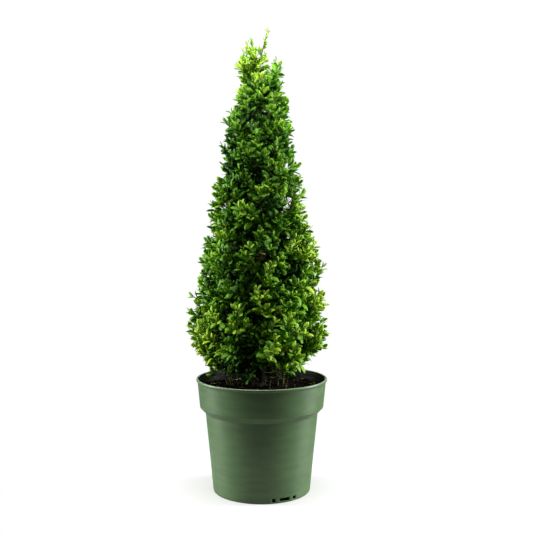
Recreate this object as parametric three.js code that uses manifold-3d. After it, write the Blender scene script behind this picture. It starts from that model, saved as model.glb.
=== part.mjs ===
// A young japanese holly clipped to a slim cone, growing in its round plastic nursery pot.
// Millimetres, +Z up. The origin is the middle of the pot's flat underside and the front is towards -Y.
// Every sub-part is its own closed solid: pot, potting soil, trunk, boughs and masses of foliage.

import * as THREE from "three";
import { mergeVertices } from "three/addons/utils/BufferGeometryUtils.js";
import Module from "manifold-3d";

const wasm = await Module();
wasm.setup();

// Driving dimensions

const CLEAR = 0.3; // the gap that touching solids keep
const FREE = { ofSpace: 0.5, ofLimb: 1 }; // what twigs and leaves keep to their space's side and to limbs
const SHORTEST_EDGES = [0.15, 0.1, 0.2]; // shorter edges than this are closed up
const GOLDEN_ANGLE = Math.PI * (3 - Math.sqrt(5));
const UP = new THREE.Vector3(0, 0, 1);
const STEEP = 0.9; // the upward share from which a direction counts as steep
const SAMPLES = { trunk: 24, bough: 6, twig: 8 }; // the pieces that limbs are measured in

const POT = {
  height: 198,
  footRadius: 85,
  footRound: 2,
  waistRadius: 98.5,
  waistHeight: 139,
  bandRadius: 108.2,
  bandHeight: 148.6,
  mouthRadius: 112.6,
  lipRadius: 114.8,
  lipHeight: 4.5,
  lipRound: 1,
  wall: 1.8,
  floor: 3,
  facets: 48,
};

// Each group of drain holes is a wide slot between two narrow ones, cut through the wall where it meets the
// floor.
const DRAIN = {
  groups: 3,
  firstAngle: 27,
  slots: [
    { from: -15.4, to: -11 },
    { from: -6.5, to: 6.5 },
    { from: 11, to: 15.4 },
  ],
  sill: 3,
  height: 6,
  innerRadius: 80,
  outerRadius: 90,
};

const SOIL = { edgeHeight: 180.5, middleHeight: 184, flatRadius: 24 };

// The trunk's axis bows and leans a little, and its foot flares where the roots begin.
const TRUNK = {
  footHeight: SOIL.middleHeight + CLEAR,
  topHeight: 655,
  footX: -4,
  lean: 2,
  bowX: -4.5,
  bowY: 4,
  radius: 8,
  topRadius: 2.2,
  flare: 4.5,
  flareHeight: 12,
  sides: 8,
  rings: 12,
  ringCrowding: 1.8, // more rings near the foot, where the flare is
};

// The clipped crown is a cone with a little belly. It is rounded under its widest ring, and its head is an
// upright stump.
const CROWN = {
  bottom: 206,
  widest: 281,
  head: 760,
  radius: 122,
  slope: 0.19,
  belly: 3,
  headRadius: 38,
  headRound: 22,
  lump: 0.035, // the share of its radius by which the shears left it uneven
  lumpRuns: [55, 33], // how fast the lumps wind up the crown
  edge: 4, // tips keep this far from the crown's lowest and highest points
  slices: 240, // the slices that its face is measured in
};

// The masses stand in tiers round the trunk, and one more sits on its tip.
const TIERS = [
  { height: 268, count: 6, turn: 12, rise: 46 },
  { height: 376, count: 5, turn: 40, rise: 44 },
  { height: 480, count: 4, turn: 5, rise: 38 },
  { height: 580, count: 3, turn: 62, rise: 32 },
];
const TOP_HEART = 690;
const HEART_SHARE = 0.58; // how far out a heart lies, as a share of the crown's radius
const INNER_SHARE = 0.24; // how far out a bough ends
const HEART_SPREAD = 6; // how far a heart may lie above or below its tier

// A low sprig leaves the trunk's foot and stands alone under the crown, front right.
const SPRIG = {
  x: 33,
  y: -64,
  z: 212,
  boughShare: 0.62,
  thickness: 0.32, // its bough's share of the trunk's radius
  belowHeart: 8,
  footRise: 8,
  tips: 3,
  firstTurn: -100,
  turn: 75,
  spreadX: 11,
  spreadY: 9,
  tipRise: 13,
  tipStep: 4,
  twist: 1.4, // its twigs' sections are turned on by this, so that none meet by a hair's breadth
};
const OVER_SOIL = 3; // the sprig's leaves stay this far above the soil
const OVER_POT = 5; // and the crown's this far above the rim

const BOUGH = {
  footShare: 0.55,
  tipShare: 0.7,
  least: 2.2,
  bendOut: 0.62,
  bendUp: 0.3,
  belowHeart: 14,
  lowestFoot: 14,
  footStep: 3, // each of a tier's lowest boughs leaves the trunk this far above the last
  longestRise: 1.2,
  sides: 6,
  rings: 3,
};
const STEM = {
  radius: 2.4,
  tipRadius: 1.2,
  sides: 3,
  rings: 2,
  bend: 0.4,
  nodes: [0.3, 0.5, 0.7, 0.85, 1],
};
const TWIG = {
  radius: 1.9,
  tipRadius: 1.2,
  sides: 3,
  rings: 2,
  inset: 15,
  bend: 0.4,
  nodes: [0.25, 0.5, 0.75],
  runCost: 0.35,
  twist: 0.7,
  lift: 0.95,
  lowestLift: -0.3,
  hangHeight: 75,
};
const LEAF = {
  length: 31,
  width: 14.5,
  thickness: 1,
  fold: 2.2,
  size: 1,
  smallest: 0.85,
  largest: 1.15,
  sunk: 0.8,
  widestAt: 0.55,
  thickestAt: 0.3,
  spacing: 8,
  count: 4,
  angle: 44,
  tipAngle: 10,
  goes: 5,
  nearestFoot: 0.1, // the lowest share of a twig's length that carries a leaf
  firstTurn: 2.4,
};
const CORE = {
  depth: 21,
  dent: 7,
  gap: 6,
  clearOfLimb: 1.4,
  neighbour: 220, // hearts further off than this leave a mass's core alone
  beyond: 900, // blocks this large stand for all that lies past a plane
  dentSpread: 90,
  dentTurn: 0.7,
  channelClear: 2,
  rings: 10,
  facets: 22,
  channelSides: 12,
};
const TIPS = 106; // twigs that reach the crown's face, over the whole crown

// Long shoots stand out of the head: the tip of each, with the leader first.
const SHOOTS = [
  [7, -3, 793],
  [-30, -8, 768],
  [-14, 6, 774],
  [24, -4, 752],
  [5, 24, 758],
];
const SHOOT = { count: 8, spacing: 10, angle: 34, size: 0.72 };

const COLOURS = {
  pot: 0x4b6b47,
  soil: 0x2a1d14,
  bark: 0x5d4a38,
  foliage: 0x3f6b1e,
};

// Small helpers

const radians = (degrees) => (degrees * Math.PI) / 180;
const mix = (a, b, t) => a + (b - a) * t;
const vector = (x, y, z) => new THREE.Vector3(x, y, z);

// An axis that a direction doesn't run along.
const aside = (way) => (Math.abs(way.z) < STEEP ? UP.clone() : vector(1, 0, 0));

// A repeatable number from 0 to 1 for the whole number k.
function chance(k) {
  const s = Math.sin(k * 12.9898 + 4.1) * 43758.5453;
  return s - Math.floor(s);
}

// Turns a closed three.js geometry into a solid that can be joined and cut.
function toSolid(geometry) {
  const bare = geometry.index ? geometry.clone() : geometry;
  bare.deleteAttribute("normal");
  bare.deleteAttribute("uv");
  const merged = mergeVertices(bare, 1e-4);
  return new wasm.Manifold(
    new wasm.Mesh({
      numProp: 3,
      vertProperties: new Float32Array(merged.attributes.position.array),
      triVerts: new Uint32Array(merged.index.array),
    }),
  );
}

// True if each edge has two faces, also once points a hair apart are taken as one point.
function isClosed(geometry) {
  const corners = mergeVertices(geometry, 1e-3).index.array;
  const faces = new Map();
  for (let i = 0; i < corners.length; i += 3) {
    const face = corners.slice(i, i + 3);
    if (new Set(face).size < 3) continue;
    face.forEach((corner, k) => {
      const other = face[(k + 1) % 3];
      const edge = `${Math.min(corner, other)} ${Math.max(corner, other)}`;
      faces.set(edge, (faces.get(edge) ?? 0) + 1);
    });
  }
  return [...faces.values()].every((count) => count === 2);
}

// Turns a solid back into a geometry. Loose scraps and sealed hollows stay behind, as only its largest body
// is kept, and edges too short to see are closed up. Gives null where an edge has more than two faces left.
function toGeometry(solid) {
  for (const shortest of SHORTEST_EDGES) {
    const largest = solid
      .asOriginal()
      .simplify(shortest)
      .decompose()
      .reduce((a, b) => (b.volume() > a.volume() ? b : a));
    const mesh = largest.getMesh();
    const place = new Float32Array(mesh.vertProperties);
    const corners = new Uint32Array(mesh.triVerts);
    const geometry = new THREE.BufferGeometry()
      .setAttribute("position", new THREE.BufferAttribute(place, 3))
      .setIndex(new THREE.BufferAttribute(corners, 1));
    if (isClosed(geometry)) return geometry.toNonIndexed();
  }
  return null;
}

// Fuses wood and leaves into one geometry, without the one leaf that meets another too finely, if there is
// such a leaf.
function fuse(wood, leaves) {
  for (let left = -1; left < leaves.length; left++) {
    const kept = leaves.filter((_, i) => i !== left);
    const geometry = toGeometry(wasm.Manifold.union([...wood, ...kept]));
    if (geometry) return geometry;
  }
  throw new Error("a mass can't be closed");
}

// A solid of revolution about Z from its profile of [radius, height] points.
function turned(profile, facets) {
  const points = profile.map(([r, h]) => new THREE.Vector2(r, h));
  const lathe = new THREE.LatheGeometry(points, facets);
  return toSolid(lathe.rotateX(Math.PI / 2));
}

// A block with the plan of a ring's sector. Its angles start at the front and turn to +X.
function sectorBlock(innerRadius, outerRadius, from, to, low, high) {
  const start = radians(from - 90);
  const end = radians(to - 90);
  const plan = new THREE.Shape();
  plan.absarc(0, 0, outerRadius, start, end, false);
  plan.absarc(0, 0, innerRadius, end, start, true);
  const block = new THREE.ExtrudeGeometry(plan, {
    depth: high - low,
    bevelEnabled: false,
    curveSegments: 3,
  });
  return toSolid(block.translate(0, 0, low));
}

// A tapering limb: a cylinder bent along a curve, its radius given by radiusAt from 0 to 1, its ends drawn
// out by grow and its section turned by twist.
function limbSolid(curve, radiusAt, sides, rings, grow = 0, twist = 0) {
  const tube = new THREE.CylinderGeometry(1, 1, 1, sides, rings);
  tube.rotateY(twist);
  const place = tube.attributes.position;
  const chord = curve.getPoint(1).sub(curve.getPoint(0)).normalize();
  const reference = aside(chord);
  for (let i = 0; i < place.count; i++) {
    const t = place.getY(i) + 0.5;
    const along = curve.getTangent(t);
    const across = reference.clone().cross(along).normalize();
    const third = along.clone().cross(across);
    const beyond = (t === 1 ? grow : 0) - (t === 0 ? grow : 0);
    const p = curve
      .getPoint(t)
      .addScaledVector(along, beyond)
      .addScaledVector(across, place.getZ(i) * radiusAt(t))
      .addScaledVector(third, place.getX(i) * radiusAt(t));
    place.setXYZ(i, p.x, p.y, p.z);
  }
  return toSolid(tube);
}

// A leaf of eight faces, folded up along its midrib, from its foot along a direction, with its face towards
// facing. It is widest past its middle and thickest near its foot.
function leafSolid(foot, along, facing, size) {
  const blade = new THREE.OctahedronGeometry(1, 0);
  const place = blade.attributes.position;
  const across = facing.clone().cross(along).normalize();
  const out = along.clone().cross(across).normalize();
  for (let i = 0; i < place.count; i++) {
    const [x, y, z] = place.array.slice(3 * i, 3 * i + 3);
    const middle = LEAF.widestAt * Math.abs(y) + LEAF.thickestAt * Math.abs(z);
    const run = Math.max(0, x) + middle;
    const lift = size * LEAF.fold * Math.abs(y) + (z * LEAF.thickness) / 2;
    const p = foot
      .clone()
      .addScaledVector(along, size * LEAF.length * run - LEAF.sunk)
      .addScaledVector(across, (size * y * LEAF.width) / 2)
      .addScaledVector(out, lift);
    place.setXYZ(i, p.x, p.y, p.z);
  }
  return blade;
}

// A point of the straight pieces that a limb's solid follows its curve by.
function pointOnWood(curve, t, rings) {
  const ring = Math.min(Math.floor(t * rings), rings - 1);
  const start = curve.getPoint(ring / rings);
  return start.lerp(curve.getPoint((ring + 1) / rings), t * rings - ring);
}

// The trunk's axis at a height, and on past its tip and foot.
function axisAt(z) {
  const u = (z - TRUNK.footHeight) / (TRUNK.topHeight - TRUNK.footHeight);
  const bow = Math.sin(Math.PI * Math.min(u, 1));
  const sway = Math.sin(2 * Math.PI * Math.min(u, 1));
  return vector(
    TRUNK.footX + TRUNK.lean * u + TRUNK.bowX * bow,
    TRUNK.bowY * sway,
    z,
  );
}

function trunkRadius(z) {
  const u = (z - TRUNK.footHeight) / (TRUNK.topHeight - TRUNK.footHeight);
  const flare =
    TRUNK.flare * Math.exp(-(z - TRUNK.footHeight) / TRUNK.flareHeight);
  return mix(TRUNK.radius, TRUNK.topRadius, u) + flare;
}

// The clipped crown's radius at a height and an angle round the trunk's axis.
function crownRadius(z, angle) {
  const rise = z - CROWN.widest;
  const cone =
    CROWN.radius -
    CROWN.slope * rise +
    CROWN.belly * Math.sin((Math.PI * rise) / (CROWN.head - CROWN.widest));
  const under = Math.max(0, -rise) / (CROWN.widest - CROWN.bottom);
  const over =
    Math.max(0, z - CROWN.head + CROWN.headRound) / CROWN.headRound;
  if (under >= 1 || over >= 1) return 0;
  const round = Math.sqrt(1 - under ** 2) * Math.sqrt(1 - over ** 2);
  const lumps =
    Math.sin(2 * angle + z / CROWN.lumpRuns[0]) +
    Math.cos(3 * angle - z / CROWN.lumpRuns[1]);
  const clipped = Math.min(Math.max(cone, CROWN.headRadius), CROWN.radius);
  return clipped * round * (1 + CROWN.lump * lumps);
}

// Pot and soil

function potSolid() {
  const p = POT;
  const inner = (radius) => radius - p.wall;
  const shell = turned(
    [
      [0, 0],
      [p.footRadius - p.footRound, 0],
      [p.footRadius, p.footRound],
      [p.waistRadius, p.waistHeight],
      [p.bandRadius, p.bandHeight],
      [p.mouthRadius, p.height - p.lipHeight],
      [p.lipRadius, p.height - p.lipHeight + p.lipRound],
      [p.lipRadius, p.height - p.lipRound],
      [p.lipRadius - p.lipRound, p.height],
      [inner(p.mouthRadius), p.height],
      [inner(p.bandRadius), p.bandHeight + p.wall],
      [inner(p.waistRadius), p.waistHeight + p.wall],
      [inner(p.footRadius), p.floor],
      [0, p.floor],
    ],
    p.facets,
  );
  const holes = [];
  for (let group = 0; group < DRAIN.groups; group++) {
    const middle = DRAIN.firstAngle + (360 / DRAIN.groups) * group;
    for (const slot of DRAIN.slots) {
      holes.push(
        sectorBlock(
          DRAIN.innerRadius,
          DRAIN.outerRadius,
          middle + slot.from,
          middle + slot.to,
          DRAIN.sill,
          DRAIN.sill + DRAIN.height,
        ),
      );
    }
  }
  return shell.subtract(wasm.Manifold.union(holes));
}

function soilSolid() {
  const p = POT;
  const inner = (radius) => radius - p.wall - CLEAR;
  const edge = mix(
    inner(p.bandRadius),
    inner(p.mouthRadius),
    (SOIL.edgeHeight - p.bandHeight) / (p.height - p.bandHeight),
  );
  return turned(
    [
      [0, p.floor + CLEAR],
      [inner(p.footRadius), p.floor + CLEAR],
      [inner(p.waistRadius), p.waistHeight + p.wall + CLEAR],
      [inner(p.bandRadius), p.bandHeight + p.wall + CLEAR],
      [edge - CLEAR, SOIL.edgeHeight],
      [SOIL.flatRadius, SOIL.middleHeight],
      [0, SOIL.middleHeight],
    ],
    p.facets,
  );
}

// Limbs

const trunkHeight = (t) =>
  mix(TRUNK.footHeight, TRUNK.topHeight, t ** TRUNK.ringCrowding);

class TrunkCurve extends THREE.Curve {
  getPoint(t) {
    return axisAt(trunkHeight(t));
  }
  getTangent(t) {
    return super.getTangent(t).lerp(UP, t < 0.01 ? 1 : 0);
  }
}

function trunkSolid(grow) {
  const radiusAt = (t) => trunkRadius(trunkHeight(t)) + grow;
  return limbSolid(new TrunkCurve(), radiusAt, TRUNK.sides, TRUNK.rings, grow);
}

// A limb's own points and radii, for telling how near something comes to it.
function sampled(curve, radiusAt, count) {
  return Array.from({ length: count + 1 }, (_, i) => ({
    p: curve.getPoint(i / count),
    r: radiusAt(i / count),
  }));
}

// The clear distance from a point to a sampled limb.
function clearance(point, samples) {
  const segment = new THREE.Line3();
  const nearest = vector(0, 0, 0);
  let least = Infinity;
  for (let i = 1; i < samples.length; i++) {
    segment.set(samples[i - 1].p, samples[i].p);
    segment.closestPointToPoint(point, true, nearest);
    least = Math.min(least, nearest.distanceTo(point) - samples[i - 1].r);
  }
  return least;
}

// One bough rises from the trunk to where its mass begins, and the mass's stem runs on from its tip.
function makeBough(foot, tip, share) {
  const control = vector(
    mix(foot.x, tip.x, BOUGH.bendOut),
    mix(foot.y, tip.y, BOUGH.bendOut),
    mix(foot.z, tip.z, BOUGH.bendUp),
  );
  const curve = new THREE.QuadraticBezierCurve3(foot, control, tip);
  const thick = Math.max(BOUGH.least, share * trunkRadius(tip.z));
  const radiusAt = (t) => mix(thick, BOUGH.tipShare * thick, t);
  return { curve, radiusAt };
}

function boughSolid(bough, grow) {
  const radiusAt = (t) => bough.radiusAt(t) + grow;
  return limbSolid(bough.curve, radiusAt, BOUGH.sides, BOUGH.rings, grow);
}

// The masses: each has its heart, and its space is all that lies nearer to its heart than to any other.

function layOutMasses() {
  const masses = [];
  TIERS.forEach((tier, level) => {
    for (let i = 0; i < tier.count; i++) {
      const angle = radians(tier.turn + (360 / tier.count) * i);
      const height = tier.height + mix(-HEART_SPREAD, HEART_SPREAD, chance(7 * level + i));
      const out = vector(Math.cos(angle), Math.sin(angle), 0);
      const radius = crownRadius(height, angle);
      const heart = axisAt(height).addScaledVector(out, HEART_SHARE * radius);
      const tipHeight = height - BOUGH.belowHeart;
      const tip = axisAt(tipHeight).addScaledVector(out, INNER_SHARE * radius);
      const rise = tier.rise * mix(1, BOUGH.longestRise, chance(31 * level + i));
      const lowest = TRUNK.footHeight + BOUGH.lowestFoot + BOUGH.footStep * i;
      const foot = axisAt(Math.max(tipHeight - rise, lowest));
      const name = `${level + 1}_${i + 1}`;
      const bough = makeBough(foot, tip, BOUGH.footShare);
      masses.push({ name, heart, bough, twist: 0 });
    }
  });
  masses.push({ name: "top", heart: axisAt(TOP_HEART), bough: null, twist: 0 });
  const sprigHeart = vector(SPRIG.x, SPRIG.y, SPRIG.z);
  const sprigTip = vector(
    SPRIG.boughShare * SPRIG.x,
    SPRIG.boughShare * SPRIG.y,
    SPRIG.z - SPRIG.belowHeart,
  );
  const sprigFoot = axisAt(TRUNK.footHeight + SPRIG.footRise);
  masses.push({
    name: "sprig",
    heart: sprigHeart,
    bough: makeBough(sprigFoot, sprigTip, SPRIG.thickness),
    twist: SPRIG.twist,
  });
  return masses;
}

// How far a point lies inside a mass's own space, in millimetres, negative outside.
function depthInSpace(point, mass, masses) {
  let least = Infinity;
  for (const other of masses) {
    if (other === mass) continue;
    const apart = other.heart.distanceTo(mass.heart);
    const lead =
      point.distanceToSquared(other.heart) - point.distanceToSquared(mass.heart);
    least = Math.min(least, lead / (2 * apart));
  }
  const overPot =
    mass.name === "sprig"
      ? point.z - SOIL.middleHeight - OVER_SOIL
      : point.z - POT.height - OVER_POT;
  return Math.min(least, overPot);
}

// Tips lie evenly over the crown's face: equal areas, one golden angle apart.
function crownTips(count, inset) {
  const steps = CROWN.slices;
  const area = [0];
  const heightAt = (i) =>
    mix(CROWN.bottom + CROWN.edge, CROWN.head - CROWN.edge, i / steps);
  const radiusAt = (i) => crownRadius(heightAt(i), 1);
  for (let i = 1; i <= steps; i++) {
    const slant = Math.hypot(
      heightAt(i) - heightAt(i - 1),
      radiusAt(i) - radiusAt(i - 1),
    );
    area.push(area[i - 1] + slant * (radiusAt(i) + radiusAt(i - 1)));
  }
  const tips = [];
  let step = 1;
  for (let k = 0; k < count; k++) {
    const wanted = (area[steps] * (k + 0.5)) / count;
    while (area[step] < wanted) step++;
    const share = (wanted - area[step - 1]) / (area[step] - area[step - 1]);
    const z = heightAt(step - 1 + share);
    const angle = k * GOLDEN_ANGLE;
    const reach = Math.max(CROWN.edge, crownRadius(z, angle) - inset);
    tips.push(
      axisAt(z).add(vector(Math.cos(angle) * reach, Math.sin(angle) * reach, 0)),
    );
  }
  return tips;
}

// A twig leaves the point already grown that is nearest, nearer ones to the stem's foot being preferred.
function branchPoint(grown, tip) {
  const cost = (node) => node.p.distanceTo(tip) + TWIG.runCost * node.run;
  return grown.reduce((a, b) => (cost(b) < cost(a) ? b : a));
}

// A twig bends up as it goes outwards, but the lowest ones hang over the pot.
function twigCurve(from, tip) {
  const axis = axisAt(tip.z);
  const out = tip.clone().sub(axis).setZ(0).normalize();
  const height = Math.min(1, (tip.z - CROWN.bottom) / TWIG.hangHeight);
  const lift = mix(TWIG.lowestLift, TWIG.lift, height);
  const ending = out.addScaledVector(UP, lift).normalize();
  const reach = from.distanceTo(tip);
  const control = tip.clone().addScaledVector(ending, -TWIG.bend * reach);
  return new THREE.QuadraticBezierCurve3(from, control, tip);
}

// True if a ball about a point lies in its mass's space and clear of all limbs.
function isFree(point, radius, mass, masses, limbs) {
  return (
    depthInSpace(point, mass, masses) > radius + FREE.ofSpace &&
    limbs.every((samples) => clearance(point, samples) > radius + FREE.ofLimb)
  );
}

// True if every corner of a leaf is free.
function fits(geometry, mass, masses, limbs) {
  const place = geometry.attributes.position;
  const corner = vector(0, 0, 0);
  for (let i = 0; i < place.count; i++) {
    corner.fromBufferAttribute(place, i);
    if (!isFree(corner, 0, mass, masses, limbs)) return false;
  }
  return true;
}

// The leaves of one twig: one at its tip and the rest down it, a golden angle apart. A leaf that would
// leave its mass's space or touch a limb is turned on round the twig, and left out if that doesn't help.
function leavesOn(curve, tip, plan, mass, masses, limbs) {
  const leaves = [];
  const length = curve.getLength();
  const key = Math.round(tip.x * 3 + tip.y * 7 + tip.z * 11);
  for (let j = 0; j < plan.count; j++) {
    const t = 1 - (j * plan.spacing) / length;
    if (t < plan.nearestFoot) break;
    const foot = pointOnWood(curve, t, TWIG.rings);
    const along = curve.getTangent(t);
    const across = aside(along).cross(along).normalize();
    const open = radians(j === 0 ? plan.tipAngle : plan.angle);
    const size = plan.size * mix(plan.smallest, plan.largest, chance(key * 13 + j));
    for (let go = 0; go < plan.goes; go++) {
      const turn = key * plan.firstTurn + (j + go * plan.count) * GOLDEN_ANGLE;
      const out = across.clone().applyAxisAngle(along, turn);
      const way = along
        .clone()
        .multiplyScalar(Math.cos(open))
        .addScaledVector(out, Math.sin(open));
      const facing = j === 0 ? out : along;
      const leaf = leafSolid(foot, way, facing, size);
      if (!fits(leaf, mass, masses, limbs)) continue;
      leaves.push(leaf);
      break;
    }
  }
  return leaves;
}

// The dense middle of the whole crown, a little inside its face and hollow round the trunk.
function crownCore() {
  const low = CROWN.bottom + CORE.depth;
  const high = CROWN.head - CORE.depth;
  const heights = Array.from({ length: CORE.rings }, (_, i) =>
    mix(low, high, (i + 0.5) / CORE.rings),
  );
  const profile = [[0, low], ...heights.map((z) => [1, z]), [0, high]];
  const points = profile.map(([x, z]) => new THREE.Vector2(x, z));
  const lathe = new THREE.LatheGeometry(points, CORE.facets);
  lathe.rotateX(Math.PI / 2);
  const place = lathe.attributes.position;
  for (let i = 0; i < place.count; i++) {
    const z = place.getZ(i);
    const angle = Math.atan2(place.getY(i), place.getX(i));
    const onAxis = Math.hypot(place.getX(i), place.getY(i)) < 0.5;
    const faceHeight = mix(CROWN.bottom, CROWN.head, (z - low) / (high - low));
    const spot = z + CORE.dentSpread * Math.cos(angle - CORE.dentTurn);
    const depth = CORE.depth + CORE.dent * chance(Math.round(spot));
    const reach = onAxis ? 0 : crownRadius(faceHeight, angle) - depth;
    const p = axisAt(z).add(
      vector(Math.cos(angle) * reach, Math.sin(angle) * reach, 0),
    );
    place.setXYZ(i, p.x, p.y, p.z);
  }
  const channelAt = (t) =>
    INNER_SHARE * crownRadius(trunkHeight(t), 0) + CORE.channelClear;
  const channel = limbSolid(
    new TrunkCurve(),
    channelAt,
    CORE.channelSides,
    TRUNK.rings,
    CORE.clearOfLimb,
  );
  return toSolid(lathe).subtract(channel);
}

// A mass's share of the core: what lies on its own side of the planes halfway to other hearts, less a gap.
function coreOf(mass, masses, core) {
  const beyond = [];
  for (const other of masses) {
    const apart = other.heart.clone().sub(mass.heart);
    if (other === mass || apart.length() > CORE.neighbour) continue;
    const way = apart.clone().normalize();
    const turn = new THREE.Quaternion().setFromUnitVectors(UP, way);
    const side = mass.heart
      .clone()
      .addScaledVector(apart, 0.5)
      .addScaledVector(way, -CORE.gap / 2);
    const block = new THREE.BoxGeometry(CORE.beyond, CORE.beyond, CORE.beyond)
      .translate(0, 0, CORE.beyond / 2)
      .applyQuaternion(turn)
      .translate(side.x, side.y, side.z);
    beyond.push(toSolid(block));
  }
  return core.subtract(wasm.Manifold.union(beyond));
}

// Grows one mass: its stem, its core, then twig after twig with its leaves, all fused into one solid.
function growMass(mass, masses, limbs, core) {
  const foot = mass.bough
    ? mass.bough.curve.getPoint(1)
    : axisAt(TRUNK.topHeight);
  const footWay = mass.bough ? mass.bough.curve.getTangent(1) : UP.clone();
  const start = foot.clone().addScaledVector(footWay, CLEAR);
  const reach = start.distanceTo(mass.heart);
  const stemCurve = new THREE.QuadraticBezierCurve3(
    start,
    start.clone().addScaledVector(footWay, STEM.bend * reach),
    mass.heart,
  );
  const stemRadius = (t) => mix(STEM.radius, STEM.tipRadius, t);
  const wood = [limbSolid(stemCurve, stemRadius, STEM.sides, STEM.rings)];
  if (core) wood.push(coreOf(mass, masses, core));
  const leaves = [];
  const grown = STEM.nodes.map((t) => ({
    p: pointOnWood(stemCurve, t, STEM.rings),
    run: t * reach,
  }));
  const ordered = mass.tips.sort(
    (a, b) => a.distanceTo(start) - b.distanceTo(start),
  );
  for (const tip of ordered) {
    const node = branchPoint(grown, tip);
    const curve = twigCurve(node.p, tip);
    const radiusAt = (t) => mix(TWIG.radius, TWIG.tipRadius, t);
    const probe = sampled(curve, radiusAt, SAMPLES.twig);
    if (!probe.every(({ p, r }) => isFree(p, r, mass, masses, limbs))) continue;
    const twist = TWIG.twist * wood.length + mass.twist;
    wood.push(limbSolid(curve, radiusAt, TWIG.sides, TWIG.rings, 0, twist));
    const run = node.run + node.p.distanceTo(tip);
    for (const t of TWIG.nodes) {
      const p = pointOnWood(curve, t, TWIG.rings);
      grown.push({ p, run: mix(node.run, run, t) });
    }
    const plan = tip.shoot ? { ...LEAF, ...SHOOT } : LEAF;
    for (const leaf of leavesOn(curve, tip, plan, mass, masses, limbs)) {
      leaves.push(toSolid(leaf));
    }
  }
  return fuse(wood, leaves);
}

// The whole plant

const holly = new THREE.Group();

function addPart(name, geometry, colour, roughness) {
  geometry.computeVertexNormals();
  const material = new THREE.MeshStandardMaterial({
    color: colour,
    roughness,
    metalness: 0,
    flatShading: true,
  });
  const part = new THREE.Mesh(geometry, material);
  part.name = name;
  holly.add(part);
}

function addPlant() {
  const masses = layOutMasses();
  const boughs = masses.filter((mass) => mass.bough);
  const trunkAt = (t) => trunkRadius(trunkHeight(t));
  const limbs = [
    sampled(new TrunkCurve(), trunkAt, SAMPLES.trunk),
    ...boughs.map(({ bough }) =>
      sampled(bough.curve, bough.radiusAt, SAMPLES.bough),
    ),
  ];
  const fatLimbs = wasm.Manifold.union([
    trunkSolid(CORE.clearOfLimb),
    ...boughs.map(({ bough }) => boughSolid(bough, CORE.clearOfLimb)),
  ]);

  addPart("trunk", toGeometry(trunkSolid(0)), COLOURS.bark, 0.85);
  const collar = trunkSolid(CLEAR);
  for (const { name, bough } of boughs) {
    const geometry = toGeometry(boughSolid(bough, 0).subtract(collar));
    addPart(`bough_${name}`, geometry, COLOURS.bark, 0.85);
  }

  const tips = crownTips(TIPS, TWIG.inset);
  for (const [x, y, z] of SHOOTS) {
    const tip = vector(x, y, z);
    tip.shoot = true;
    tips.push(tip);
  }
  for (const mass of masses) mass.tips = [];
  const crownMasses = masses.filter((mass) => mass.name !== "sprig");
  for (const tip of tips) {
    const nearest = crownMasses.reduce((a, b) =>
      tip.distanceTo(b.heart) < tip.distanceTo(a.heart) ? b : a,
    );
    nearest.tips.push(tip);
  }
  const sprig = masses.find((mass) => mass.name === "sprig");
  for (let i = 0; i < SPRIG.tips; i++) {
    const angle = radians(SPRIG.firstTurn + SPRIG.turn * i);
    const spread = vector(
      SPRIG.spreadX * Math.cos(angle),
      SPRIG.spreadY * Math.sin(angle),
      SPRIG.tipRise + SPRIG.tipStep * i,
    );
    sprig.tips.push(sprig.heart.clone().add(spread));
  }
  const core = crownCore().subtract(fatLimbs);
  for (const mass of masses) {
    const own = mass === sprig ? null : core;
    const geometry = growMass(mass, masses, limbs, own);
    addPart(`foliage_${mass.name}`, geometry, COLOURS.foliage, 0.5);
  }
}

addPart("pot", toGeometry(potSolid()), COLOURS.pot, 0.5);
addPart("soil", toGeometry(soilSolid()), COLOURS.soil, 0.95);
addPlant();

export default holly;
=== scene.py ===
# A young japanese holly clipped to a slim cone, growing in its round plastic nursery pot. Sizes are in
# millimetres until a mesh is made, which is in metres. +Z is up, the front is towards -Y, and the origin is
# the middle of the pot's flat underside. The plant grows here by the rule of the part's source, from the
# same sizes, and is carried on to fine shoots with leaves of life size.

from types import SimpleNamespace as Sizes

import bpy
import numpy as np
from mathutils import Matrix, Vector


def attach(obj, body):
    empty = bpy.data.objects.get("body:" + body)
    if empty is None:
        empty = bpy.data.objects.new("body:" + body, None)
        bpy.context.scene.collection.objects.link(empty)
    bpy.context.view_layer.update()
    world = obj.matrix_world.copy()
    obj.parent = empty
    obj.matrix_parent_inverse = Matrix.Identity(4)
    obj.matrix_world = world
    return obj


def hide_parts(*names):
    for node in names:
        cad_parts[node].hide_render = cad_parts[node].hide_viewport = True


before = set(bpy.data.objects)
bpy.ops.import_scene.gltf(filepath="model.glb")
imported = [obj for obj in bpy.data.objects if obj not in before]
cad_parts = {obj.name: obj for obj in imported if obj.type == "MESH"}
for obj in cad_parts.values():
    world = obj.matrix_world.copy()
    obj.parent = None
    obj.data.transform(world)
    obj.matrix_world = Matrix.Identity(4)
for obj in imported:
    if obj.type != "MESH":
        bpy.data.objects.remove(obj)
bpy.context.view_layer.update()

MM = 0.001
GOLDEN_ANGLE = np.pi * (3 - np.sqrt(5))
UP = np.array([0.0, 0.0, 1.0])
SIDEWAYS = np.array([1.0, 0.0, 0.0])
LEVEL = np.array([1, 1, 0])
STEEP = 0.9  # a way that rises or falls by more than this share of its length takes SIDEWAYS, not UP
SMALL = 1e-6
WAVE_LENGTHS = (0.7, 1.4)  # how the waves of an unevenness vary, against its own length
CHORD_ENDS = np.linspace(0, 1, 9)

# Sizes shared with the part's source

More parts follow.
